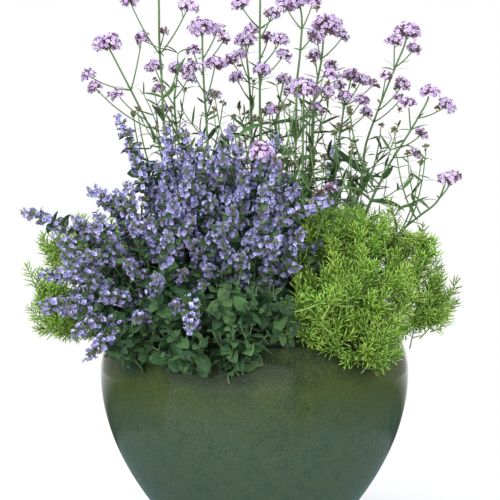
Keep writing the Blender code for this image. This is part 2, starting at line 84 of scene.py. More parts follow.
def smoothLine(points, step=0.010):
    # an even, rounded run of points through the given ones
    points = np.array(points, float)
    at = runsOf(points)
    slopes = np.gradient(points, at, axis=0)
    runs = np.linspace(0.0, at[-1], max(3, int(at[-1] / step) + 1))
    low = np.clip(np.searchsorted(at, runs, side="right") - 1, 0, len(at) - 2)
    gap = (at[low + 1] - at[low])[:, None]
    t = (runs - at[low])[:, None] / gap
    return ((2 * t**3 - 3 * t**2 + 1) * points[low] + (t**3 - 2 * t**2 + t) * gap * slopes[low]
            + (3 * t**2 - 2 * t**3) * points[low + 1] + (t**3 - t**2) * gap * slopes[low + 1])


def bowLine(start, middle, end, count=8):
    # a simple bow from start to end that leans towards middle
    t = np.linspace(0.0, 1.0, count)[:, None]
    return (1 - t)**2 * np.array(start) + 2 * t * (1 - t) * np.array(middle) + t**2 * np.array(end)


def atHeight(line, height):
    place = int(np.clip(np.searchsorted(line[:, 2], height), 1, len(line) - 1))
    low, high = line[place - 1], line[place]
    share = np.clip((height - low[2]) / max(high[2] - low[2], 1e-6), 0.0, 1.0)
    return low + (high - low) * share


# Seed shapes: one petal, leaf or bud as plain arrays, ready to be copied many times

def seedOf(shape, uvOf, growsUp=True):
    shape.verts.index_update()
    places = np.array([v.co[:] for v in shape.verts])
    uv = np.clip(uvOf(places), 0.0, 1.0)
    if growsUp:  # +Z becomes +Y
        places = places[:, [0, 2, 1]] * (1.0, 1.0, -1.0)
    corners = [v.index for face in shape.faces for v in face.verts]
    counts = [len(face.verts) for face in shape.faces]
    shape.free()
    return {"places": places, "uv": uv, "corners": np.array(corners), "counts": np.array(counts)}


def acrossFace(reach):
    return lambda places: 0.5 + places[:, :2] / (2 * reach)


def alongGrowth(low, high, wide):
    return lambda places: np.stack([0.5 + places[:, 0] / (2 * wide), (places[:, 2] - low) / (high - low)], 1)


def newBunch():
    return {"places": [], "corners": [], "counts": [], "uv": [], "slots": [], "used": 0}


def addToBunch(bunch, places, corners, counts, uv, slot):
    bunch["places"].append(places)
    bunch["corners"].append(corners + bunch["used"])
    bunch["counts"].append(counts)
    bunch["uv"].append(uv)
    bunch["slots"].append(np.full(len(counts), slot))
    bunch["used"] += len(places)


def plant(bunch, seed, places, turns, sizes, tiles, slot):
    # copies a seed to every place; tiles are numbered along the rows of the UV map
    places = np.asarray(places, float).reshape(-1, 3)
    count = len(places)
    if not count:
        return
    sizes = np.asarray(sizes, float)
    sizes = np.broadcast_to(sizes.reshape(-1, 1) if sizes.ndim < 2 else sizes, (count, 3))
    shaped = seed["places"][None] * sizes[:, None, :]
    moved = np.einsum("nij,nvj->nvi", turns, shaped) + places[:, None, :]
    corners = np.arange(count)[:, None] * len(seed["places"]) + seed["corners"]
    tileCorner = np.stack([tiles % tilesAcross, tiles // tilesAcross], 1)
    inTile = tileMargin + (1 - 2 * tileMargin) * seed["uv"][seed["corners"]]
    uv = (tileCorner[:, None, :] + inTile[None]) / tilesAcross
    counts = np.tile(seed["counts"], count)
    addToBunch(bunch, moved.reshape(-1, 3), corners.ravel(), counts, uv.reshape(-1, 2), slot)


def readOut(items, key, width=1, kind=float):
    # one property of all vertices, corners or faces of a mesh
    values = np.empty(len(items) * width, kind)
    items.foreach_get(key, values)
    return values.reshape(-1, width) if width > 1 else values


def addStems(bunch, stems, tile, slot, sides=6):
    # round stems drawn as curves; each is a line of points and its radii
    curve = bpy.data.curves.new("stems", "CURVE")
    curve.dimensions = "3D"
    curve.bevel_depth = 1.0
    curve.bevel_resolution = (sides - 4) // 2
    curve.use_fill_caps = True
    for line, radii in stems:
        spline = curve.splines.new("POLY")
        spline.points.add(len(line) - 1)
        spline.points.foreach_set("co", np.column_stack([line, np.ones(len(line))]).ravel())
        spline.points.foreach_set("radius", np.broadcast_to(radii, len(line)).astype(np.float32).ravel())
    drawn = bpy.data.objects.new("stems", curve)
    bpy.context.scene.collection.objects.link(drawn)
    mesh = bpy.data.meshes.new_from_object(drawn.evaluated_get(bpy.context.evaluated_depsgraph_get()))
    places = readOut(mesh.vertices, "co", 3)
    corners = readOut(mesh.loops, "vertex_index", kind=int)
    counts = readOut(mesh.polygons, "loop_total", kind=int)
    low, span = places.min(0), np.maximum(np.ptp(places, axis=0), 1e-6)
    inTile = tileMargin + (1 - 2 * tileMargin) * ((places - low) / span)[:, [0, 2]]
    uv = (np.array([tile % tilesAcross, tile // tilesAcross]) + inTile) / tilesAcross
    addToBunch(bunch, places, corners, counts, uv[corners], slot)
    bpy.data.objects.remove(drawn)
    bpy.data.curves.remove(curve)
    bpy.data.meshes.remove(mesh)


def finishBunch(bunch, name, materials, replaced=()):
    places, corners = np.concatenate(bunch["places"]), np.concatenate(bunch["corners"])
    counts = np.concatenate(bunch["counts"])
    mesh = bpy.data.meshes.new(name)
    mesh.vertices.add(len(places))
    mesh.vertices.foreach_set("co", places.astype(np.float32).ravel())
    mesh.loops.add(len(corners))
    mesh.loops.foreach_set("vertex_index", corners.astype(np.int32))
    mesh.polygons.add(len(counts))
    mesh.polygons.foreach_set("loop_start", np.concatenate([[0], np.cumsum(counts)[:-1]]).astype(np.int32))
    mesh.polygons.foreach_set("material_index", np.concatenate(bunch["slots"]).astype(np.int32))
    uv = np.concatenate(bunch["uv"]).astype(np.float32)
    mesh.uv_layers.new(name="OFBake").uv.foreach_set("vector", uv.ravel())
    for material in materials:
        mesh.materials.append(material)
    mesh.update(calc_edges=True)
    mesh.shade_smooth()
    made = bpy.data.objects.new(name, mesh)
    bpy.context.scene.collection.objects.link(made)
    rideOnPot(made, replaced)


def rideOnPot(made, replaced):
    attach(made, "root")
    if replaced:
        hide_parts(*replaced)


# Material helpers

def newMaterial(name, roughness):
    material = bpy.data.materials.new(name)
    material.use_nodes = True
    tree = material.node_tree
    shader = tree.nodes["Principled BSDF"]
    shader.inputs["Roughness"].default_value = roughness
    return material, tree, shader


def addNode(tree, kind, inputs=None, **settings):
    made = tree.nodes.new(kind)
    for key, value in settings.items():
        setattr(made, key, value)
    for key, value in (inputs or {}).items():
        if isinstance(value, bpy.types.NodeSocket):
            tree.links.new(value, made.inputs[key])
        else:
            made.inputs[key].default_value = value
    return made


def mathOf(tree, operation, one, two=0.0, three=0.0):
    return addNode(tree, "ShaderNodeMath", {0: one, 1: two, 2: three}, operation=operation).outputs[0]


def vectorOf(tree, operation, one, two=(0, 0, 0)):
    return addNode(tree, "ShaderNodeVectorMath", {0: one, 1: two}, operation=operation).outputs


def partsOf(tree, vector):
    return addNode(tree, "ShaderNodeSeparateXYZ", {0: vector}).outputs


def tileReader(tree):
    # per copy: two random numbers, the place across and along it, and the place from its middle
    uv = addNode(tree, "ShaderNodeUVMap", uv_map="OFBake").outputs[0]
    spread = vectorOf(tree, "MULTIPLY", uv, (tilesAcross, tilesAcross, 1))[0]
    number = vectorOf(tree, "FLOOR", spread)[0]
    within = vectorOf(tree, "FRACTION", spread)[0]
    chance = addNode(tree, "ShaderNodeTexWhiteNoise", {"Vector": number}, noise_dimensions="3D").outputs
    other = addNode(tree, "ShaderNodeSeparateColor", {0: chance["Color"]})
    across, along, _ = partsOf(tree, within)
    return {"chance": chance["Value"], "other": other.outputs[1], "across": across, "along": along,
            "out": vectorOf(tree, "DISTANCE", within, (0.5, 0.5, 0))["Value"], "spread": spread}


def rampOf(tree, factor, stops):
    ramp = addNode(tree, "ShaderNodeValToRGB", {"Fac": factor})
    while len(ramp.color_ramp.elements) < len(stops):
        ramp.color_ramp.elements.new(1.0)
    for element, (at, colour) in zip(ramp.color_ramp.elements, stops):
        element.position = at
        element.color = (*colour, 1.0) if isinstance(colour, tuple) else (colour, colour, colour, 1.0)
    return ramp.outputs["Color"]


def mixOf(tree, share, one, two, blend="MIX"):
    mix = addNode(tree, "ShaderNodeMix", data_type="RGBA", blend_type=blend)
    for key, value in ((0, share), (6, one), (7, two)):
        if isinstance(value, bpy.types.NodeSocket):
            tree.links.new(value, mix.inputs[key])
        else:
            mix.inputs[key].default_value = (*value, 1.0) if isinstance(value, tuple) else value
    return mix.outputs[2]


def rangeOf(tree, value, low, high, start=0.0, end=1.0):
    return addNode(tree, "ShaderNodeMapRange", {0: value, 1: start, 2: end, 3: low, 4: high}).outputs[0]


def noiseOf(tree, vector, scale, detail=3.0, roughness=0.55):
    inputs = {"Vector": vector, "Scale": scale, "Detail": detail, "Roughness": roughness}
    return addNode(tree, "ShaderNodeTexNoise", inputs).outputs["Fac"]


def shift(tree, colour, hue, value):
    inputs = {"Hue": hue, "Value": value, "Color": colour}
    return addNode(tree, "ShaderNodeHueSaturation", inputs).outputs[0]


def finishLook(tree, shader, colour, height, bump, grain, *roughness):
    # bump is its strength and its depth in metres; the roughness follows the grain
    bump = addNode(tree, "ShaderNodeBump", {"Height": height, "Strength": bump[0], "Distance": bump[1]})
    rough = rangeOf(tree, grain, *roughness)
    for made, name in ((colour, "Base Color"), (bump.outputs[0], "Normal"), (rough, "Roughness")):
        tree.links.new(made, shader.inputs[name])


petalBump = (0.3, 0.0003)


def leafMaterial(name, deep, bright, vein, roughness, veinCount=7.0, crinkle=0.0006):
    material, tree, shader = newMaterial(name, roughness)
    tile = tileReader(tree)
    colour = mixOf(tree, tile["chance"], deep, bright)
    cloud = noiseOf(tree, tile["spread"], 5.0)
    colour = shift(tree, colour, rangeOf(tree, tile["other"], 0.485, 0.515),
                   rangeOf(tree, cloud, 0.72, 1.28, 0.3, 0.7))
    fromMid = mathOf(tree, "ABSOLUTE", mathOf(tree, "SUBTRACT", tile["across"], 0.5))
    slant = mathOf(tree, "MULTIPLY_ADD", fromMid, -0.9, tile["along"])
    wave = mathOf(tree, "SINE", mathOf(tree, "MULTIPLY", slant, veinCount * math.tau))
    sideVein = rangeOf(tree, wave, 0.0, 0.45, 0.8, 1.0)
    midVein = rangeOf(tree, fromMid, 0.8, 0.0, 0.0, 0.045)
    veins = mathOf(tree, "MAXIMUM", sideVein, midVein)
    colour = mixOf(tree, veins, colour, vein)
    height = mathOf(tree, "SUBTRACT", cloud, veins)
    finishLook(tree, shader, colour, height, (0.6, crinkle), cloud, roughness - 0.08, roughness + 0.12)
    return material


def petalMaterial(name, throat, limb, pale, roughness):
    material, tree, shader = newMaterial(name, roughness)
    tile = tileReader(tree)
    body = mixOf(tree, tile["chance"], limb, pale)
    body = shift(tree, body, rangeOf(tree, tile["other"], 0.475, 0.52),
                 rangeOf(tree, tile["chance"], 0.9, 1.08))
    streak = noiseOf(tree, tile["spread"], 9.0)
    edge = rampOf(tree, tile["out"], [(0.0, 0.0), (0.07, 0.25), (0.2, 1.0)])
    colour = mixOf(tree, edge, throat, body)
    colour = shift(tree, colour, 0.5, rangeOf(tree, streak, 0.86, 1.12, 0.3, 0.7))
    finishLook(tree, shader, colour, streak, petalBump, streak, roughness - 0.08, roughness + 0.1)
    shader.inputs["Sheen Weight"].default_value = 0.15
    return material


def stemMaterial(name, foot, top, roughness, speckle=(0.2, 0.1, 0.08)):
    material, tree, shader = newMaterial(name, roughness)
    tile = tileReader(tree)
    streak = noiseOf(tree, tile["spread"], 30.0)
    colour = mixOf(tree, tile["along"], foot, top)
    colour = mixOf(tree, rangeOf(tree, streak, 0.0, 0.45, 0.55, 0.8), colour, speckle)
    finishLook(tree, shader, colour, streak, (0.4, 0.0004), streak, roughness - 0.1, roughness + 0.1)
    return material


def gradedMaterial(name, stops, roughness, spreadOfValue=(0.8, 1.2)):
    # colour that runs along each copy, for buds, calyces and needles
    material, tree, shader = newMaterial(name, roughness)
    tile = tileReader(tree)
    streak = noiseOf(tree, tile["spread"], 6.0)
    colour = rampOf(tree, tile["along"], stops)
    colour = shift(tree, colour, rangeOf(tree, tile["other"], 0.485, 0.515),
                   rangeOf(tree, tile["chance"], *spreadOfValue))
    colour = mixOf(tree, rangeOf(tree, streak, 0.0, 0.35, 0.4, 0.75), colour, (0.10, 0.14, 0.05), "MULTIPLY")
    finishLook(tree, shader, colour, streak, petalBump, streak, roughness - 0.08, roughness + 0.12)
    return material


verbenaPetal = petalMaterial("verbena petal", (0.42, 0.16, 0.44), (0.60, 0.43, 0.73), (0.76, 0.66, 0.87), 0.6)
verbenaBud = gradedMaterial("verbena bud", [(0.0, (0.11, 0.17, 0.06)), (0.45, (0.16, 0.14, 0.08)),
                                           (0.8, (0.24, 0.10, 0.12)), (1.0, (0.45, 0.20, 0.34))], 0.6)
greenBud = gradedMaterial("green bud", [(0.0, (0.11, 0.18, 0.06)), (0.6, (0.16, 0.19, 0.08)),
                                       (1.0, (0.27, 0.17, 0.15))], 0.65)
verbenaStem = stemMaterial("verbena stem", (0.060, 0.140, 0.040), (0.16, 0.27, 0.10), 0.55)
verbenaLeaf = leafMaterial("verbena leaf", (0.030, 0.080, 0.028), (0.085, 0.17, 0.045),
                           (0.12, 0.22, 0.08), 0.55)
catmintPetal = petalMaterial("catmint petal", (0.22, 0.17, 0.5), (0.35, 0.335, 0.66),
                              (0.55, 0.53, 0.78), 0.65)
catmintCalyx = gradedMaterial("catmint calyx", [(0.0, (0.22, 0.30, 0.15)), (0.5, (0.25, 0.29, 0.19)),
                                               (1.0, (0.26, 0.25, 0.26))], 0.7)
catmintStem = stemMaterial("catmint stem", (0.10, 0.16, 0.07), (0.20, 0.24, 0.16), 0.6, (0.14, 0.10, 0.16))
catmintLeaf = leafMaterial("catmint leaf", (0.026, 0.068, 0.03), (0.075, 0.165, 0.05),
                           (0.12, 0.21, 0.1), 0.65, 6.0, 0.0012)
# the dark foot of each needle is partly painted shade, darkening the gaps low in the shoots; the lime tips
# are the needles' own colour
stonecropNeedle = gradedMaterial("stonecrop needle", [(0.0, (0.07, 0.16, 0.010)), (0.5, (0.24, 0.45, 0.03)),
                                                     (1.0, (0.58, 0.80, 0.22))], 0.55, (0.65, 1.25))
stonecropStem = stemMaterial("stonecrop stem", (0.18, 0.3, 0.07), (0.3, 0.44, 0.11), 0.55, (0.26, 0.22, 0.1))


def makeGlaze():
    material, tree, shader = newMaterial("green glaze", 0.1)
    place = addNode(tree, "ShaderNodeTexCoord").outputs["Object"]
    height = partsOf(tree, place)[2]
    clouds = noiseOf(tree, place, 7.0, 4.0)
    mottle = noiseOf(tree, place, 60.0, 4.0, 0.65)
    grain = noiseOf(tree, place, 430.0, 2.0, 0.7)
    wander = mathOf(tree, "MULTIPLY_ADD", clouds, 0.16, height)  # height in metres, made uneven
    olive = rampOf(tree, clouds, [(0.36, (0.046, 0.070, 0.017)), (0.5, (0.052, 0.074, 0.022)),
                                  (0.64, (0.040, 0.066, 0.026))])
    teal = rampOf(tree, mottle, [(0.35, (0.040, 0.072, 0.046)), (0.5, (0.050, 0.082, 0.052)),
                                 (0.68, (0.048, 0.080, 0.066))])
    base = mixOf(tree, rangeOf(tree, wander, 0.0, 1.0, 0.27, 0.34), teal, olive)
    # painted shade: the glaze goes near black towards the rim, standing in for the shadow and dark reflection
    # of the foliage over the pot
    base = mixOf(tree, rangeOf(tree, wander, 0.0, 0.95, 0.340, 0.39), base, (0.017, 0.024, 0.012))
    colour = mixOf(tree, rangeOf(tree, mottle, 0.0, 0.45, 0.45, 0.72), base, (0.075, 0.088, 0.022))
    colour = mixOf(tree, rangeOf(tree, grain, 0.0, 0.45, 0.52, 0.7), colour, (0.10, 0.125, 0.07))
    colour = mixOf(tree, rangeOf(tree, grain, 0.6, 0.0, 0.30, 0.44), colour, (0.012, 0.022, 0.013))
    ripple = mathOf(tree, "ADD", mottle, clouds)
    finishLook(tree, shader, colour, ripple, (0.10, 0.0008), mottle, 0.05, 0.13, 0.3, 0.7)
    return material


def makeSoilMaterial():
    material, tree, shader = newMaterial("potting compost", 0.95)
    place = addNode(tree, "ShaderNodeTexCoord").outputs["Object"]
    lumps = noiseOf(tree, place, 120.0, 5.0, 0.7)
    fibres = noiseOf(tree, place, 420.0, 3.0, 0.7)
    colour = rampOf(tree, lumps, [(0.3, (0.010, 0.006, 0.004)), (0.55, (0.035, 0.022, 0.014)),
                                  (0.75, (0.075, 0.05, 0.032))])
    colour = mixOf(tree, rangeOf(tree, fibres, 0.0, 0.8, 0.6, 0.75), colour, (0.16, 0.11, 0.07))
    finishLook(tree, shader, colour, lumps, (0.9, 0.003), fibres, 0.8, 1.0)
    return material


print("materials made")


# Seed shapes, one unit long or wide

def flowerDisc(sides, throat):
    shape = bmesh.new()
    bmesh.ops.create_circle(shape, cap_ends=True, segments=sides, radius=1.0)
    rim = list(shape.verts)
    bmesh.ops.poke(shape, faces=shape.faces[:])["verts"][0].co.z = throat
    return shape, rim


def addTube(shape, foot, mouth, length, height):
    tube = bmesh.ops.create_cone(shape, cap_ends=False, segments=4, radius1=foot, radius2=mouth, depth=length)
    bmesh.ops.translate(shape, verts=tube["verts"], vec=(0, 0, height))


def floretSeed(cup):
    shape, rim = flowerDisc(20, -0.22)
    for count, corner in enumerate(rim):
        reach = (0.46, 0.95, 0.80, 0.95)[count % 4]
        corner.co *= reach
        corner.co.z = cup * reach**2
    addTube(shape, 0.13, 0.24, 1.7, -1.05)
    return seedOf(shape, acrossFace(1.0))


def lippedSeed(droop):
    # a two-lipped flower: long tube, hooded upper lip and a wide three-lobed lower lip towards +Y
    shape, rim = flowerDisc(14, -0.35)
    for corner in rim:
        angle = math.atan2(corner.co.y, corner.co.x)
        lower = max(0.0, math.sin(angle))
        reach = 0.46 + 0.60 * lower**1.5 + 0.17 * math.cos(6 * angle)
        corner.co *= reach
        corner.co.z = 0.25 * reach - droop * 0.75 * lower * reach
    addTube(shape, 0.15, 0.42, 1.5, -0.85)
    return seedOf(shape, acrossFace(1.15))


def budSeed(width, sides, rings, uvWidth, bend=0.0):
    # a closed bud or needle one unit long that stands on the origin
    shape = bmesh.new()
    bmesh.ops.create_uvsphere(shape, u_segments=sides, v_segments=rings, radius=0.5)
    bmesh.ops.scale(shape, verts=shape.verts, vec=(width, width, 1.0))
    bmesh.ops.translate(shape, verts=shape.verts, vec=(0, 0, 0.5))
    for corner in shape.verts:
        corner.co.y -= bend * corner.co.z**2
    return seedOf(shape, alongGrowth(0.0, 1.0, uvWidth))


def calyxSeed(foot, mouth, sides=5):
    shape = bmesh.new()
    bmesh.ops.create_cone(shape, cap_ends=False, segments=sides, radius1=foot, radius2=mouth, depth=1.0)
    bmesh.ops.translate(shape, verts=shape.verts, vec=(0, 0, 0.5))
    for count, corner in enumerate(v for v in shape.verts if v.co.z > 0.9):
        corner.co.z += 0.12 * (-1)**count
    return seedOf(shape, alongGrowth(0.0, 1.1, mouth))


def leafSeed(widthAt, curl, fold, rows=8, teeth=0.12, wave=0.0):
    # a leaf one unit long: widthAt gives its half width along it
    shape = bmesh.new()
    bmesh.ops.create_grid(shape, x_segments=2, y_segments=rows, size=0.5)
    flat = np.array([v.co[:2] for v in shape.verts]) + 0.5
    for corner in shape.verts:
        along, side = corner.co.y + 0.5, round(corner.co.x * 2)
        half = widthAt(along) * (1.0 - teeth * (round(along * rows) % 2))
        corner.co.x = side * half
        corner.co.y = along - 0.5 * abs(curl) * along**3
        corner.co.z = fold * abs(side) * half - curl * along**2 + wave * side * math.sin(along * 9.0)
    return seedOf(shape, lambda places: flat, False)


def lanceWidth(width):
    return lambda along: width * max(0.04, math.sin(math.pi * min(1.0, along * 0.93 + 0.07)**0.75)**0.8)


def ovateWidth(width):
    return lambda along: width * max(0.05, math.sin(math.pi * min(1.0, along * 0.95 + 0.05)**0.72)**0.62)


florets = [floretSeed(cup) for cup in (-0.22, 0.05, 0.28)]
lippedFlowers = [lippedSeed(amount) for amount in (0.5, 0.9, 1.2)]
flowerBud = budSeed(0.55, 5, 4, 0.275)
slimCalyx = calyxSeed(0.12, 0.22)
wideCalyx = calyxSeed(0.14, 0.30)
lanceLeaves = [leafSeed(lanceWidth(0.080), curl, 0.25) for curl in (0.05, 0.22, 0.45)]
narrowLeaves = [leafSeed(lanceWidth(0.066), curl, 0.2, 6, 0.0) for curl in (0.0, 0.2, 0.4)]
ovateLeaves = [leafSeed(ovateWidth(0.39), curl, 0.22, 6, 0.08, wave)
               for curl, wave in ((0.05, 0.01), (0.2, 0.02), (0.35, 0.03))]
needles = [budSeed(0.13, 3, 3, 0.075, bend) for bend in (0.0, 0.12, 0.25)]
print("seed shapes made")

potPlan = {
    "height": 0.335, "bellyRadius": 0.225, "bellyHeight": 0.262, "rimRadius": 0.200,
    "footRadius": 0.122, "footHeight": 0.032, "wall": 0.012, "floor": 0.015, "lip": 0.008,
    "drainRadius": 0.010, "drainCircle": 0.048, "drains": 3, "turns": 128,
}
soilPlan = {"belowRim": 0.030, "gap": 0.0003, "wallGap": 0.0012, "turns": 96, "rings": 28,
            "lumps": 0.005, "seed": 3}
soilLevel = potPlan["height"] - soilPlan["belowRim"]


def potRadius(height):
    belly, rim = potPlan["bellyRadius"], potPlan["rimRadius"]
    if height >= potPlan["bellyHeight"]:
        share = (height - potPlan["bellyHeight"]) / (potPlan["height"] - potPlan["bellyHeight"])
        return belly - (belly - rim) * share**2
    share = min(1.0, (potPlan["bellyHeight"] - height) / (potPlan["bellyHeight"] - potPlan["footHeight"]))
    return belly - (belly - potPlan["footRadius"]) * share**2


def spinProfile(profile, turns):
    shape = bmesh.new()
    corners = [shape.verts.new((radius, 0.0, height)) for radius, height in profile]
    edges = [shape.edges.new(pair) for pair in zip(corners, corners[1:])]
    bmesh.ops.spin(shape, geom=corners + edges, axis=(0, 0, 1), cent=(0, 0, 0), angle=math.tau,
                   steps=turns, use_merge=True)
    bmesh.ops.remove_doubles(shape, verts=shape.verts, dist=0.00002)
    bmesh.ops.recalc_face_normals(shape, faces=shape.faces)
    return shape


def objectFrom(shape, name):
    mesh = bpy.data.meshes.new(name)
    shape.to_mesh(mesh)
    shape.free()
    made = bpy.data.objects.new(name, mesh)
    bpy.context.scene.collection.objects.link(made)
    return made


def boreHole(pot, place, radius, depth):
    drill = bmesh.new()
    bmesh.ops.create_cone(drill, cap_ends=True, segments=40, radius1=radius, radius2=radius, depth=depth)
    bmesh.ops.translate(drill, verts=drill.verts, vec=place)
    cutter = objectFrom(drill, "drill")
    cut = pot.modifiers.new("drain", "BOOLEAN")
    cut.object, cut.solver = cutter, "EXACT"
    bored = bpy.data.meshes.new_from_object(pot.evaluated_get(bpy.context.evaluated_depsgraph_get()))
    pot.modifiers.clear()
    pot.data = bored
    bpy.data.objects.remove(cutter)


def finishSpun(made, material, node, sharpAngle=None):
    made.data.materials.clear()
    made.data.materials.append(material)
    made.data.shade_smooth()
    if sharpAngle:
        made.data.set_sharp_from_angle(angle=math.radians(sharpAngle))
    rideOnPot(made, [node])


def makePot(plan):
    lip, foot, floor, height = plan["lip"], plan["footRadius"], plan["floor"], plan["height"]
    turns = np.radians(np.linspace(180, -35, 16))
    middle = (plan["rimRadius"] - lip / 2, height - lip)
    rim = [(middle[0] + lip * math.cos(a), middle[1] + lip * math.sin(a)) for a in turns]
    inside = [(potRadius(z) - plan["wall"], z) for z in np.linspace(floor + 0.006, height - 2 * lip, 30)]
    inside = [(0.0, floor), (inside[0][0] - 0.02, floor)] + inside
    outside = [(potRadius(z), z) for z in np.linspace(height - 0.014, plan["footHeight"], 48)]
    base = [(foot, 0.012), (foot - 0.001, 0.003), (foot - 0.004, 0.0), (foot - 0.016, 0.0),
            (foot - 0.020, 0.003), (0.0, 0.003)]
    pot = objectFrom(spinProfile(inside + rim + outside + base, plan["turns"]), "glazedPot")
    for count in range(plan["drains"]):
        angle = math.tau * (count + 0.5) / plan["drains"]
        place = (plan["drainCircle"] * math.cos(angle), plan["drainCircle"] * math.sin(angle), floor / 2)
        boreHole(pot, place, plan["drainRadius"], floor * 3)
    finishSpun(pot, makeGlaze(), "glazed_pot", 40)


def makeSoil(plan):
    rng = np.random.default_rng(plan["seed"])
    under = potPlan["floor"]
    wall = [(potRadius(z) - potPlan["wall"] - plan["wallGap"], z)
            for z in np.linspace(under + 0.008, soilLevel - 0.004, 14)]
    top = [(wall[-1][0] * share, soilLevel - 0.002) for share in np.linspace(1.0, 0.0, plan["rings"])[1:]]
    bottom = [(0.0, under + plan["gap"]), (wall[0][0] - 0.02, under + plan["gap"])]
    shape = spinProfile(bottom + wall + top, plan["turns"])
    waves = [(rng.uniform(30, 160, 2) * rng.choice([-1, 1], 2), rng.uniform(0, 6.28), rng.uniform(0.2, 1.0))
             for _ in range(14)]
    for v in shape.verts:
        if v.co.z > soilLevel - 0.003:
            rise = sum(size * math.sin(k[0] * v.co.x + k[1] * v.co.y + at) for k, at, size in waves)
            v.co.z += plan["lumps"] * (rise / 6.0 + rng.uniform(-0.25, 0.25))
    finishSpun(objectFrom(shape, "pottingSoil"), makeSoilMaterial(), "potting_soil")


makePot(potPlan)
makeSoil(soilPlan)
print("pot and soil made")

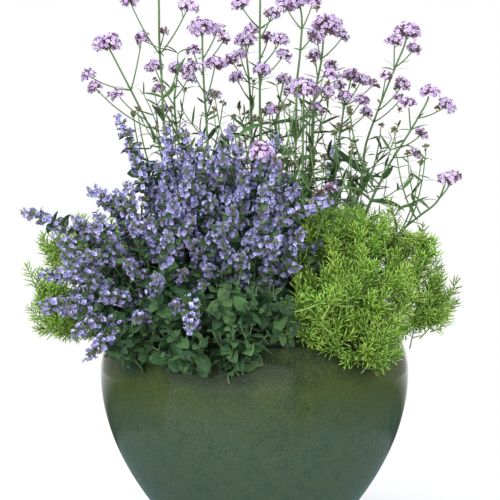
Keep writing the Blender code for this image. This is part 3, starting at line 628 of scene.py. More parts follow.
# Each stem: its base, how far back its top stands, the bends of its leafy part and of its flowering top,
# and its heads as x, height over the soil, radius and the height of the fork that carries it
verbenaStems = {
    "01": {"base": (-0.062, 0.03), "topY": 0.06,
           "leafy": [(-0.105, 0.195), (-0.144, 0.291), (-0.15, 0.301)],
           "flowering": [(-0.184, 0.366), (-0.21, 0.416), (-0.217, 0.43)],
           "heads": [(-0.218, 0.436, 0.02, None), (-0.249, 0.389, 0.012, 0.366),
                     (-0.166, 0.442, 0.012, 0.366), (-0.239, 0.371, 0.012, 0.309),
                     (-0.204, 0.36, 0.011, 0.322)]},
    "02": {"base": (-0.075, -0.005), "topY": -0.02,
           "leafy": [(-0.11, 0.145), (-0.128, 0.275), (-0.134, 0.385)],
           "flowering": [(-0.136, 0.414), (-0.137, 0.494), (-0.139, 0.563)],
           "heads": [(-0.14, 0.571, 0.02, None), (-0.18, 0.492, 0.014, 0.414),
                     (-0.094, 0.48, 0.014, 0.414), (-0.165, 0.553, 0.013, 0.5),
                     (-0.112, 0.557, 0.013, 0.5), (-0.129, 0.445, 0.008, 0.422)]},
    "03": {"base": (-0.03, 0.062), "topY": 0.11,
           "leafy": [(-0.075, 0.145), (-0.112, 0.275), (-0.118, 0.308)],
           "flowering": [(-0.122, 0.355), (-0.118, 0.395)],
           "heads": [(-0.118, 0.402, 0.014, None), (-0.153, 0.405, 0.014, 0.345),
                     (-0.144, 0.37, 0.011, 0.325), (-0.101, 0.389, 0.012, 0.355),
                     (-0.142, 0.338, 0.011, 0.316)]},
    "04": {"base": (-0.036, 0.012), "topY": 0.016,
           "leafy": [(-0.055, 0.145), (-0.068, 0.275), (-0.07, 0.315)],
           "flowering": [(-0.074, 0.375), (-0.076, 0.44)],
           "heads": [(-0.076, 0.453, 0.021, None), (-0.054, 0.452, 0.013, 0.41),
                     (-0.044, 0.436, 0.01, 0.4), (-0.09, 0.422, 0.011, 0.385),
                     (-0.092, 0.397, 0.012, 0.36), (-0.057, 0.401, 0.016, 0.345),
                     (-0.061, 0.358, 0.011, 0.325)]},
    "05": {"base": (0.0, 0.05), "topY": 0.13,
           "leafy": [(-0.003, 0.145), (-0.004, 0.275), (-0.005, 0.335)],
           "flowering": [(-0.008, 0.385), (-0.013, 0.435)],
           "heads": [(-0.014, 0.447, 0.017, None), (-0.004, 0.464, 0.012, 0.425),
                     (-0.022, 0.422, 0.012, 0.385), (-0.035, 0.416, 0.013, 0.38),
                     (-0.027, 0.388, 0.012, 0.352)]},
    "06": {"base": (0.018, 0.004), "topY": 0.04,
           "leafy": [(0.012, 0.145), (0.009, 0.275), (0.008, 0.335)],
           "flowering": [(0.008, 0.395), (0.008, 0.459), (0.009, 0.525), (0.01, 0.567)],
           "heads": [(0.01, 0.575, 0.02, None), (-0.02, 0.557, 0.013, 0.51), (0.038, 0.561, 0.013, 0.51),
                     (-0.021, 0.492, 0.013, 0.455), (0.047, 0.49, 0.016, 0.455),
                     (0.026, 0.475, 0.012, 0.44), (0.021, 0.443, 0.011, 0.41), (0.039, 0.437, 0.012, 0.398),
                     (0.043, 0.416, 0.012, 0.38), (0.012, 0.394, 0.014, 0.365)]},
    "07": {"base": (0.036, 0.062), "topY": 0.15,
           "leafy": [(0.034, 0.145), (0.033, 0.255), (0.033, 0.295)],
           "flowering": [(0.036, 0.335), (0.044, 0.375)],
           "heads": [(0.046, 0.387, 0.013, None), (0.056, 0.371, 0.01, 0.34),
                     (0.026, 0.338, 0.012, 0.308)]},
    "08": {"base": (0.04, 0.018), "topY": -0.01,
           "leafy": [(0.055, 0.145), (0.06, 0.275), (0.061, 0.37)],
           "flowering": [(0.066, 0.42), (0.067, 0.474)],
           "heads": [(0.063, 0.492, 0.021, None), (0.045, 0.485, 0.013, 0.45), (0.083, 0.487, 0.012, 0.45),
                     (0.085, 0.444, 0.009, 0.42)]},
    "09": {"base": (0.064, 0.042), "topY": 0.085,
           "leafy": [(0.078, 0.145), (0.086, 0.295), (0.091, 0.359)],
           "flowering": [(0.102, 0.417), (0.106, 0.45)],
           "heads": [(0.111, 0.463, 0.024, None), (0.134, 0.449, 0.011, 0.415), (0.094, 0.442, 0.011, 0.41),
                     (0.092, 0.42, 0.012, 0.385), (0.115, 0.403, 0.012, 0.375)]},
    "10": {"base": (0.052, -0.022), "topY": -0.035,
           "leafy": [(0.066, 0.145), (0.069, 0.255), (0.069, 0.295)],
           "flowering": [(0.07, 0.345)],
           "heads": [(0.07, 0.363, 0.021, None), (0.103, 0.36, 0.012, 0.32), (0.108, 0.382, 0.012, 0.33),
                     (0.088, 0.337, 0.011, 0.305)]},
    "11": {"base": (0.08, 0.014), "topY": 0.12,
           "leafy": [(0.095, 0.115), (0.117, 0.247), (0.129, 0.295)],
           "flowering": [(0.139, 0.349), (0.148, 0.383)],
           "heads": [(0.149, 0.392, 0.014, None), (0.165, 0.385, 0.013, 0.345), (0.181, 0.377, 0.01, 0.345),
                     (0.131, 0.375, 0.01, 0.34), (0.137, 0.359, 0.012, 0.325), (0.163, 0.353, 0.012, 0.315),
                     (0.172, 0.334, 0.011, 0.304)]},
    "12": {"base": (0.094, 0.04), "topY": 0.05,
           "leafy": [(0.125, 0.115), (0.156, 0.215), (0.166, 0.285)],
           "flowering": [(0.185, 0.339), (0.211, 0.404), (0.225, 0.44)],
           "heads": [(0.227, 0.452, 0.019, None), (0.238, 0.428, 0.011, 0.4), (0.206, 0.437, 0.012, 0.395),
                     (0.222, 0.375, 0.013, 0.335), (0.195, 0.386, 0.01, 0.345),
                     (0.216, 0.352, 0.011, 0.318)]},
    "13": {"base": (0.1, 0.004), "topY": -0.03,
           "leafy": [(0.135, 0.115), (0.173, 0.212), (0.196, 0.259)],
           "flowering": [(0.204, 0.272), (0.236, 0.326), (0.248, 0.35)],
           "heads": [(0.25, 0.359, 0.014, None), (0.277, 0.341, 0.013, 0.322), (0.219, 0.343, 0.011, 0.305),
                     (0.242, 0.3, 0.01, 0.28), (0.232, 0.272, 0.009, 0.266)]},
    "14": {"base": (0.098, -0.034), "topY": -0.07,
           "leafy": [(0.16, 0.095), (0.213, 0.167), (0.235, 0.185)],
           "flowering": [(0.258, 0.205), (0.266, 0.225)],
           "heads": [(0.268, 0.235, 0.013, None), (0.283, 0.24, 0.01, 0.208)]},
    "15": {"base": (0.004, -0.046), "topY": -0.14,
           "leafy": [(0.004, 0.115), (0.007, 0.195), (0.007, 0.22)],
           "flowering": [(0.008, 0.257)],
           "heads": [(0.008, 0.273, 0.018, None), (0.03, 0.258, 0.009, 0.23)]},
    "16": {"base": (0.062, -0.058), "topY": -0.135,
           "leafy": [(0.078, 0.115), (0.092, 0.175), (0.097, 0.195)],
           "flowering": [(0.1, 0.215)],
           "heads": [(0.101, 0.224, 0.01, None), (0.088, 0.216, 0.008, 0.202)]},
}

verbenaPlan = {
    "stemRadius": 0.0024, "topRadius": 0.0017, "axisTopRadius": 0.0014, "branchRadius": 0.0010,
    "leavesFrom": 0.02, "leafGap": 0.034, "lowLeaf": 0.085, "highLeaf": 0.044, "bract": 0.022,
    "sideShoots": 0.58, "longShoots": 5, "headFlatness": 0.80, "depthSwing": 0.016, "leanPower": 1.4,
    "leafRoll": 0.45,
    "floret": (0.0033, 0.0043), "floretGap": 0.0033, "floretsPerGap": 2.3, "bud": (0.0034, 0.0052),
    "calyx": (0.0042, 0.0062),
}


def stemPoint(plan, x, height):
    top = plan["flowering"][-1][1]
    depth = plan["base"][1] + (plan["topY"] - plan["base"][1]) * (height / top)**verbenaPlan["leanPower"]
    return np.array([x, depth, soilLevel + height])


def leafPair(bunch, rng, place, along, around, length, width, tiles, seeds, slot, rise=0.9, droop=0.0):
    # two opposite leaves on a stem
    level = (0.3, 0.1, 1.0) if abs(along[2]) < 0.9 else (1.0, 0.0, 0.0)
    for turn in (around, around + math.pi + rng.normal(0, 0.15)):
        out = outFrom(along, turn, level)
        forward = unit(out + along * (rise + rng.normal(0, 0.2)) - np.array([0, 0, droop]))
        size = length * rng.uniform(0.75, 1.15)
        seed = seeds[rng.integers(len(seeds))]
        turns = basis(forward[None], (along + rng.normal(0, verbenaPlan["leafRoll"], 3))[None])
        tile = np.array([rng.choice(tiles)])
        plant(bunch, seed, place[None], turns, [[size * width, size, size]], tile, slot)


def budCluster(bunch, rng, end, spots, lift, spread, lengths, slot):
    # a knot of small closed buds at the end of a shoot
    ways = unit(anyWay(rng, spots) + (0, 0, lift))
    plant(bunch, flowerBud, end + ways * spread, basis(ways, anyWay(rng, spots)),
          rng.uniform(*lengths, spots), rng.integers(*budTiles, spots), slot)


def flowerHead(bunch, rng, centre, radius, axis, openness):
    # florets, buds and calyces over a dome that faces along axis
    axis = unit(np.array(axis, float))
    across = unit(np.cross(axis, (0.2, 1.0, 0.1)))
    turn = np.stack([across, np.cross(axis, across), axis], -1)
    spots = max(14, int(verbenaPlan["floretsPerGap"] * (radius / verbenaPlan["floretGap"])**2))
    k = np.arange(spots) + 0.5
    level = 1.0 - k / spots * 1.50
    angle = k * goldenAngle + rng.uniform(0, 6.28)
    ring = np.sqrt(np.maximum(0.0, 1 - level**2))
    ways = np.stack([ring * np.cos(angle), ring * np.sin(angle), level], 1)
    ways = unit(ways + rng.normal(0, 0.12, ways.shape))
    lobes = np.sin(3 * np.arctan2(ways[:, 1], ways[:, 0]) + rng.uniform(0, 6.28))
    lobes = 1.0 + 0.13 * lobes * (1 - ways[:, 2])
    reach = radius * lobes * rng.uniform(0.80, 1.08, spots)
    ways = ways * (1.0, 1.0, verbenaPlan["headFlatness"])
    out = ways @ turn.T
    facing = unit(out + rng.normal(0, 0.28, out.shape) + axis * 0.25)
    isOpen = rng.random(spots) < openness
    floretSize = rng.uniform(*verbenaPlan["floret"], spots) * (0.80 + 0.20 * min(1.0, radius / 0.014))
    kinds = rng.integers(3, size=spots)
    for kind in range(3):
        pick = isOpen & (kinds == kind)
        plant(bunch, florets[kind], centre + out[pick] * reach[pick, None],
              basis(facing[pick], anyWay(rng, pick.sum())), floretSize[pick],
              rng.integers(*petalTiles, pick.sum()), 0)
    shut = ~isOpen
    budLength = rng.uniform(*verbenaPlan["bud"], shut.sum())
    plant(bunch, flowerBud, centre + out[shut] * (reach[shut, None] * 0.52),
          basis(facing[shut], anyWay(rng, shut.sum())), budLength[:, None] * (0.75, 1.0, 0.75),
          rng.integers(*budTiles, shut.sum()), 1)
    calyces = int(0.6 * spots) + 8
    inner = out[rng.integers(spots, size=calyces)] + rng.normal(0, 0.12, (calyces, 3))
    depth = radius * rng.uniform(0.20, 0.50, calyces)
    plant(bunch, slimCalyx, centre + inner * depth[:, None], basis(unit(inner), anyWay(rng, calyces)),
          rng.uniform(*verbenaPlan["calyx"], calyces)[:, None] * (1.1, 1.0, 1.1),
          rng.integers(*budTiles, calyces), 1)
    stub = max(6, spots // 3)
    low = unit(anyWay(rng, stub) * (1, 1, 0.5))
    plant(bunch, flowerBud, centre + low * radius * 0.25, basis(low, anyWay(rng, stub)),
          rng.uniform(0.35, 0.5, stub)[:, None] * radius * (0.8, 1.0, 0.8), rng.integers(*budTiles, stub), 1)


def makeLeafyStem(number, plan):
    rng = np.random.default_rng(100 + int(number))
    bunch = newBunch()
    foot = np.array([*plan["base"], soilLevel - 0.004])
    points = [foot, foot + (0, 0, 0.016)] + [stemPoint(plan, x, height) for x, height in plan["leafy"]]
    line = smoothLine(points)
    line[1:-1] += rng.normal(0, 0.0003, (len(line) - 2, 3))
    radii = np.linspace(verbenaPlan["stemRadius"], verbenaPlan["topRadius"], len(line))
    stems = [(line, radii)]
    top = line[-1][2] - soilLevel
    height, around = verbenaPlan["leavesFrom"] + rng.uniform(0, 0.02), 1.5 * int(number)
    while height < top - 0.006:
        place = atHeight(line, soilLevel + height)
        share = height / 0.36
        step = int(np.clip(np.searchsorted(line[:, 2], place[2]), 1, len(line) - 1))
        along = unit(line[step] - line[step - 1])
        radii[max(0, step - 1):step + 1] *= 1.12
        length = verbenaPlan["lowLeaf"] + (verbenaPlan["highLeaf"] - verbenaPlan["lowLeaf"]) * min(1.0, share)
        leafPair(bunch, rng, place, along, around, length, 1.0, leafTiles, lanceLeaves, 1,
                 rng.uniform(0.15, 0.9), 0.25 * rng.random())
        for side in (0.0, math.pi):
            if height > 0.09 and rng.random() < verbenaPlan["sideShoots"]:
                addSideShoot(bunch, rng, stems, place, along, around + side, share)
        height += verbenaPlan["leafGap"] * rng.uniform(0.8, 1.25)
        around += quarterTurn + rng.normal(0, 0.2)
    for count in range(verbenaPlan["longShoots"]):
        start = atHeight(line, soilLevel + rng.uniform(0.10, 0.24))
        addLongShoot(bunch, rng, stems, start, rng.uniform(0.09, 0.17))
    addStems(bunch, stems, leafyStemTile, 0)
    finishBunch(bunch, "leafyStem" + number, [verbenaStem, verbenaLeaf, greenBud],
                ["verbena_stem_" + number])


def addSideShoot(bunch, rng, stems, place, along, around, share):
    # a thin shoot from a leaf axil with a few pairs of small leaves and now and then a green head
    out = outFrom(along, around, (1.0, 0.0, 0.0))
    length = rng.uniform(0.030, 0.090)
    end = place + unit(along + out * 0.55 + rng.normal(0, 0.12, 3)) * length
    line = bowLine(place, place + unit(along * 0.5 + out) * length * 0.4, end, 7)
    stems.append((line, np.linspace(0.0011, 0.0007, len(line))))
    pairs = rng.integers(2, 4)
    for count in range(pairs):
        spot = line[int((count + 1) / pairs * (len(line) - 1))]
        small = (0.034 - 0.006 * count) * rng.uniform(0.8, 1.3)
        leafPair(bunch, rng, spot, unit(line[-1] - line[-3]), around + count * quarterTurn, small, 1.0,
                 leafTiles, narrowLeaves, 1, 0.9)
    if rng.random() < 0.35:
        budCluster(bunch, rng, end, 12, 0.6, 0.0010, (0.0030, 0.0045), 2)


def addLongShoot(bunch, rng, stems, start, length):
    # a side stem as thin as a branch, with leaf pairs all the way and a green head on top
    lean = rng.uniform(0, 6.28)
    way = unit(np.array([math.cos(lean) * 0.42, math.sin(lean) * 0.42, 1.0]))
    end = start + way * length
    line = bowLine(start, start + (way + (way[0] * 0.8, way[1] * 0.8, -0.3)) * length * 0.45, end, 10)
    stems.append((line, np.linspace(0.0013, 0.0008, len(line))))
    around = lean
    for step in range(2, 9, 2):
        leafPair(bunch, rng, line[step], unit(line[step + 1] - line[step]), around, 0.044 - 0.0025 * step,
                 1.0, leafTiles, narrowLeaves if step > 5 else lanceLeaves, 1, rng.uniform(0.2, 0.9), 0.2)
        around += quarterTurn
    budCluster(bunch, rng, end, rng.integers(14, 26), 0.4, 0.0014, (0.0035, 0.0055), 2)


def makeFlowerTop(number, plan):
    rng = np.random.default_rng(200 + int(number))
    bunch = newBunch()
    before, joint = (stemPoint(plan, x, height) for x, height in plan["leafy"][-2:])
    points = [joint] + [stemPoint(plan, x, height) for x, height in plan["flowering"]]
    points.append(stemPoint(plan, *plan["heads"][0][:2]))
    line = smoothLine([before] + points, 0.006)
    line = line[np.searchsorted(line[:, 2], joint[2]) - 1:]
    stems = [(line, np.linspace(verbenaPlan["topRadius"], verbenaPlan["axisTopRadius"], len(line)))]
    for count, (x, height, radius, fork) in enumerate(plan["heads"]):
        head = stemPoint(plan, x, height)
        axis = unit(line[-1] - line[-3])
        if fork:
            start = atHeight(line, soilLevel + fork)
            head[1] = start[1] + verbenaPlan["depthSwing"] * math.sin(2.4 * count)
            apart = np.linalg.norm(head - start)
            middle = start + (head - start) * 0.55 - np.array([0, 0, 0.14 * apart])
            branch = bowLine(start, middle, head, max(5, int(apart / 0.007)))
            stems.append((branch, verbenaPlan["branchRadius"] * np.linspace(1.15, 0.85, len(branch))))
            axis = unit(branch[-1] - branch[-2])
            addBracts(bunch, rng, start, unit(head - start))
            if apart > 0.030 and rng.random() < 0.6:
                addBudStub(bunch, rng, stems, branch)
        axis = unit(axis + (0, 0, 0.6))
        openness = float(np.clip((radius - 0.0045) / 0.0075, 0.12, 0.95)) * rng.uniform(0.85, 1.05)
        flowerHead(bunch, rng, head, radius, axis, openness)
    addStems(bunch, stems, stemTile, 2)
    finishBunch(bunch, "flowerTop" + number, [verbenaPetal, verbenaBud, verbenaStem, verbenaLeaf],
                ["verbena_flowers_" + number])


def addBracts(bunch, rng, place, along):
    around = math.atan2(along[1], along[0]) + rng.normal(0, 0.4)
    length = verbenaPlan["bract"] * rng.uniform(0.7, 1.5)
    leafPair(bunch, rng, place, np.array([0.0, 0.0, 1.0]), around, length, 0.9, smallLeafTiles,
             narrowLeaves, 3, 0.45)


def addBudStub(bunch, rng, stems, branch):
    # a short side stalk with a small unopened head
    start = branch[int(len(branch) * rng.uniform(0.55, 0.8))]
    end = start + unit(unit(branch[-1] - branch[0]) + rng.normal(0, 0.7, 3)) * rng.uniform(0.008, 0.016)
    stems.append((np.array([start, (start + end) / 2 + (0, 0, 0.001), end]), np.full(3, 0.0007)))
    budCluster(bunch, rng, end, 16, 0.5, 0.0012, (0.0030, 0.0048), 1)


for stemNumber, stemPlan in verbenaStems.items():
    makeLeafyStem(stemNumber, stemPlan)
    makeFlowerTop(stemNumber, stemPlan)
print("verbena made:", len(verbenaStems), "stems")

# Catmint crowns and spike tips as x, y and height over the rim
catmintSpikes = {
    "front": {
        "crown": (-0.085, -0.110, 0.050),
        "tips": [(-0.330, -0.060, 0.160), (-0.196, -0.030, 0.296), (-0.124, -0.090, 0.280),
                 (-0.031, -0.084, 0.280), (0.034, -0.090, 0.262), (0.104, -0.170, 0.180),
                 (-0.230, -0.110, 0.190), (-0.286, -0.160, 0.030), (-0.219, -0.224, -0.026),
                 (-0.082, -0.285, 0.020), (-0.160, -0.215, 0.150), (-0.040, -0.225, 0.150),
                 (-0.090, -0.165, 0.225), (-0.236, -0.180, 0.105), (0.036, -0.215, 0.130)],
    },
    "back": {
        "crown": (0.095, 0.130, 0.050),
        "tips": [(0.250, 0.150, 0.110), (0.180, 0.235, 0.160), (0.060, 0.255, 0.160),
                 (0.128, 0.170, 0.255)],
    },
}

catmintPlan = {
    "flowerShare": 0.532, "stalkRadius": 0.0011, "whorlGap": 0.0100, "flowerSize": 0.0046,
    "leafLength": 0.026, "shootsFront": 300, "shootsBack": 140, "arch": 0.16, "calyx": 0.0074,
    "lowLeaf": 0.017, "lowLeafGap": 0.019,
    "pairs": ((1.0, 0.30), (0.93, 0.62), (0.78, 1.0), (0.55, 1.05), (0.3, 0.9)),  # share of the shoot, size
}


def catmintSpike(bunch, stems, rng, root, tip, flowerLength, fullness=1.0):
    # a leaning stalk whose upper part carries rings of two-lipped flowers
    root, tip = np.array(root, float), np.array(tip, float)
    length = np.linalg.norm(tip - root)
    middle = (root + tip) / 2 + (0, 0, catmintPlan["arch"] * length) + rng.normal(0, 0.05 * length, 3)
    line = bowLine(root, middle, tip, max(8, int(length / 0.008)))
    stems.append((line, np.linspace(catmintPlan["stalkRadius"], 0.0006, len(line))))
    runs = runsOf(line)
    at, gap, around, level = runs[-1] - 0.002, 0.0050, rng.uniform(0, 6.28), 0
    while at > max(runs[-1] - flowerLength, 0.01):
        place, ahead = pointAt(line, runs, at), pointAt(line, runs, at + 0.004)
        along = unit(ahead - place) if at < runs[-1] - 0.003 else unit(line[-1] - line[-2])
        grown = min(1.0, 0.35 + level * 0.16)
        count = int((10 if level > 1 else 7) * fullness) + rng.integers(0, 3)
        turn = around + rng.choice([0.0, math.pi], count) + rng.normal(0, 0.62, count)
        out = outFrom(along, turn, (0.1, 1.0, 0.3))
        forward = unit(out + along * rng.uniform(0.25, 0.95, count)[:, None])
        foot = place + out * 0.001 + along * rng.normal(0, 0.0013, count)[:, None]
        reach = catmintPlan["calyx"] * grown * rng.uniform(0.75, 1.25, count)
        plant(bunch, wideCalyx, foot, basis(forward, along), reach, rng.integers(*budTiles, count), 1)
        isOpen = rng.random(count) < (0.68 if level > 1 else 0.30) * fullness
        opened = isOpen.sum()
        if opened:
            size = catmintPlan["flowerSize"] * rng.uniform(0.8, 1.2, opened) * (0.6 + 0.4 * grown)
            face = foot[isOpen] + forward[isOpen] * (reach[isOpen, None] * 0.8 + size[:, None] * 0.9)
            aim = unit(forward[isOpen] + rng.normal(0, 0.15, (opened, 3)))
            kinds = rng.integers(3, size=opened)
            for kind in range(3):
                pick = kinds == kind
                plant(bunch, lippedFlowers[kind], face[pick], basis(aim[pick], along), size[pick],
                      rng.integers(*petalTiles, pick.sum()), 0)
        if level > 2 and rng.random() < 0.85:
            leafPair(bunch, rng, place, along, around + quarterTurn, 0.010 + 0.0015 * level, 0.85,
                     smallLeafTiles, ovateLeaves, 3, 0.4)
        at -= gap * rng.uniform(0.85, 1.2)
        gap = min(catmintPlan["whorlGap"], gap + 0.0015)
        around += quarterTurn
        level += 1
    while at > 0.02:
        leafPair(bunch, rng, pointAt(line, runs, at), unit(tip - root), around, catmintPlan["lowLeaf"], 0.9,
                 smallLeafTiles, ovateLeaves, 3, 0.5)
        around += quarterTurn
        at -= catmintPlan["lowLeafGap"]


def finishSpikes(bunch, stems, name, replaced=()):
    addStems(bunch, stems, stemTile, 2)
    materials = [catmintPetal, catmintCalyx, catmintStem, catmintLeaf]
    finishBunch(bunch, name, materials, replaced)


spikeNumber = 0
for spikes in catmintSpikes.values():
    crown = np.array(spikes["crown"]) + (0, 0, potPlan["height"])
    for tip in spikes["tips"]:
        spikeNumber += 1
        rng = np.random.default_rng(300 + spikeNumber)
        bunch, stems = newBunch(), []
        end = np.array(tip) + (0, 0, potPlan["height"])
        flowering = catmintPlan["flowerShare"] * np.linalg.norm(end - crown)
        catmintSpike(bunch, stems, rng, crown + (end - crown) * 0.12, end, flowering)
        finishSpikes(bunch, stems, "catmintSpike%02d" % spikeNumber, ["catmint_spike_%02d" % spikeNumber])


# Bunches of short spikes: the crown over the rim, the reach left, right, front, back and up, the lowest
# tip as a share of the upward reach, and how many spikes
catmintFill = {
    "frontLeft": ((-0.125, -0.110, 0.020), (0.180, 0.08, 0.150, 0.08, 0.235), -0.10, 56),
    "frontRight": ((-0.020, -0.110, 0.020), (0.10, 0.130, 0.140, 0.06, 0.240), 0.30, 44),
    "frontTop": ((-0.075, -0.085, 0.090), (0.105, 0.125, 0.110, 0.080, 0.205), 0.05, 44),
    "back": ((0.095, 0.120, 0.030), (0.12, 0.12, 0.08, 0.120, 0.190), 0.0, 34),
}


def fillSpikes(name, crown, reach, lowest, count, seed):
    rng = np.random.default_rng(seed)
    crown = np.array(crown) + (0, 0, potPlan["height"])
    left, right, front, back, up = reach
    bunches, stemLists = [newBunch(), newBunch()], [[], []]
    for number in range(count):
        share = (number + 0.5) / count
        level = lowest + (0.97 - lowest) * (1 - share)
        ring = math.sqrt(max(0.0, 1 - level**2))
        turn = number * goldenAngle
        x, y = ring * math.cos(turn), ring * math.sin(turn)
        away = np.array([x * (right if x > 0 else left), y * (back if y > 0 else front), level * up])
        away *= rng.uniform(0.78, 1.0)
        start = crown + away * (0.25, 0.25, 0.10) + rng.normal(0, 0.008, 3)
        half = number % 2
        catmintSpike(bunches[half], stemLists[half], rng, start, crown + away, rng.uniform(0.055, 0.095))
    for half in range(2):
        finishSpikes(bunches[half], stemLists[half], "catmintBloom" + name + "AB"[half])


for order, (name, (crown, reach, lowest, count)) in enumerate(catmintFill.items()):
    fillSpikes(name[0].upper() + name[1:], crown, reach, lowest, count, 400 + order)
print("catmint spikes made")


def surfacePoints(node, count, rng, lowest):
    # even random points on a CAD node's surface, with the way that it faces there
    mesh = cadNodes[node].data
    mesh.calc_loop_triangles()
    places = readOut(mesh.vertices, "co", 3)
    a, b, c = places[readOut(mesh.loop_triangles, "vertices", 3, int)].transpose(1, 0, 2)
    normal = np.cross(b - a, c - a)
    area = np.linalg.norm(normal, axis=1)
    middle = (a + b + c) / 3
    outward = (middle[:, :2] * normal[:, :2]).sum(1) / np.linalg.norm(middle[:, :2], axis=1)
    fits = (normal[:, 2] > -0.75 * area) & (middle[:, 2] > lowest(middle[:, 0]))
    fits &= (outward > -0.3 * area) | (middle[:, 2] > potPlan["height"] + 0.035)
    share = np.cumsum(area * fits) / (area * fits).sum()
    face = np.searchsorted(share, rng.random(count))
    u, v = rng.random((2, count))
    flip = u + v > 1
    u, v = np.where(flip, 1 - u, u), np.where(flip, 1 - v, v)
    spots = a[face] + (b - a)[face] * u[:, None] + (c - a)[face] * v[:, None]
    return spots, unit(normal[face])


def leafHem(x):
    # how low the leaves hang over the rim; the pot shows a little higher in the middle
    return np.where(abs(x + 0.02) < 0.05, 0.322, 0.275)


def makeLeafMound(place, node, count, seed):
    rng = np.random.default_rng(seed)
    bunch, stems = newBunch(), []
    spots, ways = surfacePoints(node, count, rng, leafHem)
    for spot, way in zip(spots, ways):
        way = unit(way + (0, 0, 0.25) + rng.normal(0, 0.25, 3))
        length = rng.uniform(0.035, 0.06)
        end = spot + way * rng.uniform(-0.006, 0.008)
        start = end - way * length - (0, 0, 0.3 * length)
        line = bowLine(start, (start + end) / 2 - (0, 0, 0.1 * length), end, 6)
        stems.append((line, np.linspace(0.0012, 0.0007, len(line))))
        around = rng.uniform(0, 6.28)
        bigness = catmintPlan["leafLength"] * rng.uniform(0.65, 1.15)
        for level, (share, size) in enumerate(catmintPlan["pairs"]):
            spot = line[int(share * (len(line) - 1))]
            leafPair(bunch, rng, spot, unit(line[-1] - line[-3]), around + level * quarterTurn,
                     bigness * size, 1.0, moundTiles, ovateLeaves, 0, 0.65 if level < 2 else 0.3, 0.15)
    addStems(bunch, stems, stemTile, 1)
    finishBunch(bunch, "catmintLeaves" + place, [catmintLeaf, catmintStem], [node])


makeLeafMound("Front", "catmint_leaves_front", catmintPlan["shootsFront"], 501)
makeLeafMound("Back", "catmint_leaves_back", catmintPlan["shootsBack"], 502)
print("catmint leaves made")

stonecropPlan = {
    "right": 445, "left": 380, "back": 300, "shoot": (0.036, 0.066), "needle": (0.0120, 0.0185),
    "needleGap": 0.00170, "covered": 0.043, "hem": 0.29,
    "sprigs": {"right": [((0.050, -0.178, 0.020), 0.026, 18), ((0.100, -0.185, 0.005), 0.022, 16),
                          ((0.163, -0.088, 0.018), 0.034, 34), ((0.128, -0.146, 0.006), 0.024, 14),
                          ((0.246, -0.020, 0.114), 0.012, 5), ((0.268, -0.030, 0.028), 0.012, 5)]},
}


def makeStonecrop(place, count, seed):
    rng = np.random.default_rng(seed)
    bunch, stems = newBunch(), []
    spots, ways = surfacePoints("stonecrop_" + place, count, rng, lambda x: stonecropPlan["hem"])
    for centre, size, extra in stonecropPlan["sprigs"].get(place, ()):
        centre = np.array(centre) + (0, 0, potPlan["height"])
        around = unit(anyWay(rng, extra) - (0, 0.5, 0))
        spots, ways = np.concatenate([spots, centre + around * size]), np.concatenate([ways, around])
    for spot, way in zip(spots, ways):
        way = unit(way + rng.normal(0, 0.22, 3) + (0, 0, 0.2))
        length = rng.uniform(*stonecropPlan["shoot"])
        end = spot + way * rng.uniform(-0.012, 0.016)
        start = end - unit(way + (0, 0, 0.4)) * length
        line = bowLine(start, (start + end) / 2 - (0, 0, 0.12 * length) + rng.normal(0, 0.003, 3), end, 7)
        stems.append((line, np.linspace(0.0010, 0.0006, len(line))))
        runs = runsOf(line)
        number = int(min(stonecropPlan["covered"], length * 0.9) / stonecropPlan["needleGap"])
        back = np.arange(number) * stonecropPlan["needleGap"] * rng.uniform(0.9, 1.1, number)
        at = runs[-1] - back
        foot, ahead = pointAt(line, runs, at), pointAt(line, runs, at + 0.003)
        atTip = (at > runs[-1] - 0.003)[:, None]
        along = np.where(atTip, unit(line[-1] - line[-2]), unit(ahead - foot + 1e-9))
        out = outFrom(along, np.arange(number) * goldenAngle + rng.uniform(0, 6.28), (0.2, 1.0, 0.4))
        lean = np.interp(back, [0, 0.006, 0.02, 0.05], [1.8, 1.0, 0.65, 0.35])
        forward = unit(out + along * (lean + rng.normal(0, 0.15, number))[:, None])
        size = rng.uniform(*stonecropPlan["needle"], number)
        size *= np.interp(back, [0, 0.008, 0.03, 0.05], [0.55, 0.95, 1.0, 0.8])
        kinds = rng.integers(3, size=number)
        tiles = np.full(number, rng.integers(0, 48))
        for kind in range(3):
            pick = kinds == kind
            turns = basis(forward[pick], along[pick])
            plant(bunch, needles[kind], foot[pick], turns, size[pick], tiles[pick], 0)
    addStems(bunch, stems, stemTile, 1)
    finishBunch(bunch, "stonecrop" + place.capitalize(), [stonecropNeedle, stonecropStem],
                ["stonecrop_" + place])


for order, place in enumerate(("right", "left", "back")):
    makeStonecrop(place, stonecropPlan[place], 600 + order)
print("stonecrop made")

stagePlan = {
    "floorRadius": 1.9, "lens": 95.0, "target": (-0.0065, 0.0, 0.436), "lift": 4.0, "away": 1.93,
    # light comes from, aims at, size, power, seen in the glaze, tint
    "lights": {
        "key": ((-1.3, -1.5, 2.0), (0.0, 0.0, 0.45), (1.2, 1.2), 38.0, False, (1.0, 1.0, 1.0)),
        "fill": ((1.5, -1.4, 1.4), (0.0, 0.0, 0.4), (1.0, 1.4), 18.0, False, (1.0, 1.0, 1.0)),
        "top": ((0.1, 0.3, 2.4), (0.0, 0.0, 0.4), (1.6, 1.6), 24.0, False, (1.0, 1.0, 1.0)),
        "window": ((-0.8, -2.5, 0.75), (0.0, 0.0, 0.3), (5.2, 2.2), 22.0, True, (0.72, 0.90, 1.0)),
    },
}
white, black = (1.0, 1.0, 1.0), (0.0, 0.0, 0.0)


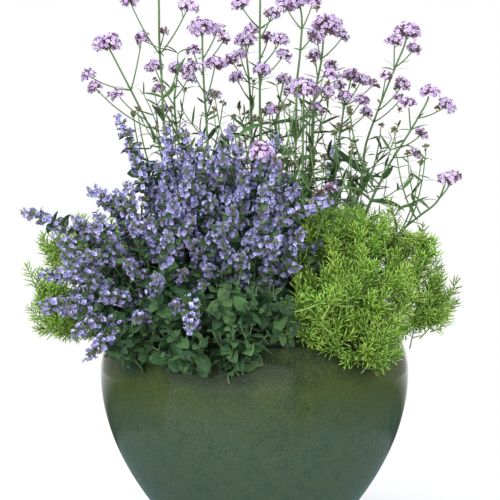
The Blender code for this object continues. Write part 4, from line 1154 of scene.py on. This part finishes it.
def paintedFloorReflection(tree, place):
    # painted reflection: glowing colours that the glaze sees in place of the floor: teal close by, dark
    # further out, a painted strip of window light and a bright far side
    x, y, _ = partsOf(tree, place)
    turned = mathOf(tree, "DIVIDE", x, y)
    lit = rangeOf(tree, turned, 0.0, 1.0, -0.50, -0.44)
    lit = mixOf(tree, rangeOf(tree, turned, 1.0, 0.0, 1.7, 1.9), black, lit)
    lit = mixOf(tree, rangeOf(tree, y, 1.0, 0.0, -0.1, 0.0), black, lit)
    far = mixOf(tree, lit, (0.03, 0.04, 0.04), (0.24, 0.34, 0.45))
    away = vectorOf(tree, "LENGTH", place)["Value"]
    seen = mixOf(tree, rangeOf(tree, away, 0.0, 1.0, 0.50, 0.58), (0.17, 0.24, 0.27), far)
    return mixOf(tree, rangeOf(tree, y, 0.0, 1.0, 0.60, 1.60), seen, (1.1, 1.1, 1.1)), away


def makeStage():
    shape = bmesh.new()
    bmesh.ops.create_circle(shape, cap_ends=True, segments=96, radius=stagePlan["floorRadius"])
    floor = objectFrom(shape, "floor")
    material, tree, shader = newMaterial("pale floor", 0.7)
    shader.inputs["Base Color"].default_value = (0.86, 0.86, 0.86, 1.0)
    mirrored, away = paintedFloorReflection(tree, addNode(tree, "ShaderNodeTexCoord").outputs["Object"])
    # for glossy rays the floor glows with the painted reflection instead of its lit shading; for other rays
    # it glows evenly white far out
    glossy = addNode(tree, "ShaderNodeLightPath").outputs["Is Glossy Ray"]
    glow = addNode(tree, "ShaderNodeEmission", {"Color": mixOf(tree, glossy, white, mirrored)})
    reach = mathOf(tree, "MAXIMUM", rangeOf(tree, away, 0.0, 1.0, 0.30, 0.75), glossy)
    join = addNode(tree, "ShaderNodeMixShader", {0: reach, 1: shader.outputs[0], 2: glow.outputs[0]})
    tree.links.new(join.outputs[0], tree.nodes["Material Output"].inputs["Surface"])
    floor.data.materials.append(material)


def addSoftbox(name, place, target, size, power, mirrored, tint):
    light = bpy.data.lights.new(name, "AREA")
    light.shape = "RECTANGLE"
    light.size, light.size_y = size
    light.energy, light.color = power, tint
    made = bpy.data.objects.new(name, light)
    bpy.context.scene.collection.objects.link(made)
    made.location = place
    made.visible_camera, made.visible_glossy = False, mirrored
    made.rotation_euler = (Vector(target) - Vector(place)).to_track_quat("-Z", "Y").to_euler()


def makeWorld():
    # even light; the glaze sees a dim room with a bright wall behind the pot
    world = bpy.data.worlds.new("studio")
    bpy.context.scene.world = world
    world.use_nodes = True
    tree = world.node_tree
    back = partsOf(tree, addNode(tree, "ShaderNodeTexCoord").outputs["Generated"])[1]
    around = rampOf(tree, rangeOf(tree, back, 0.0, 1.0, -1.0, 1.0),
                    [(0.0, 0.04), (0.6, 0.12), (0.84, 0.30), (0.90, 0.45)])
    around = mixOf(tree, rangeOf(tree, back, 0.0, 1.0, 0.84, 1.0), around, (1.5, 1.5, 1.5))
    path = addNode(tree, "ShaderNodeLightPath").outputs
    colour = mixOf(tree, path["Is Glossy Ray"], (0.80, 0.82, 0.84), around)
    colour = mixOf(tree, path["Is Camera Ray"], colour, white)
    tree.links.new(colour, tree.nodes["Background"].inputs["Color"])


def makeCamera():
    lens = bpy.data.cameras.new("camera")
    lens.lens, lens.sensor_width = stagePlan["lens"], 36.0
    camera = bpy.data.objects.new("camera", lens)
    bpy.context.scene.collection.objects.link(camera)
    target, lift, away = Vector(stagePlan["target"]), math.radians(stagePlan["lift"]), stagePlan["away"]
    camera.location = target + Vector((0.0, -away * math.cos(lift), away * math.sin(lift)))
    camera.rotation_euler = (target - camera.location).to_track_quat("-Z", "Y").to_euler()
    bpy.context.scene.camera = camera


makeStage()
makeWorld()
for lightName, settings in stagePlan["lights"].items():
    addSoftbox(lightName, *settings)
makeCamera()
bpy.context.scene.view_settings.view_transform = "Standard"
print("stage made")
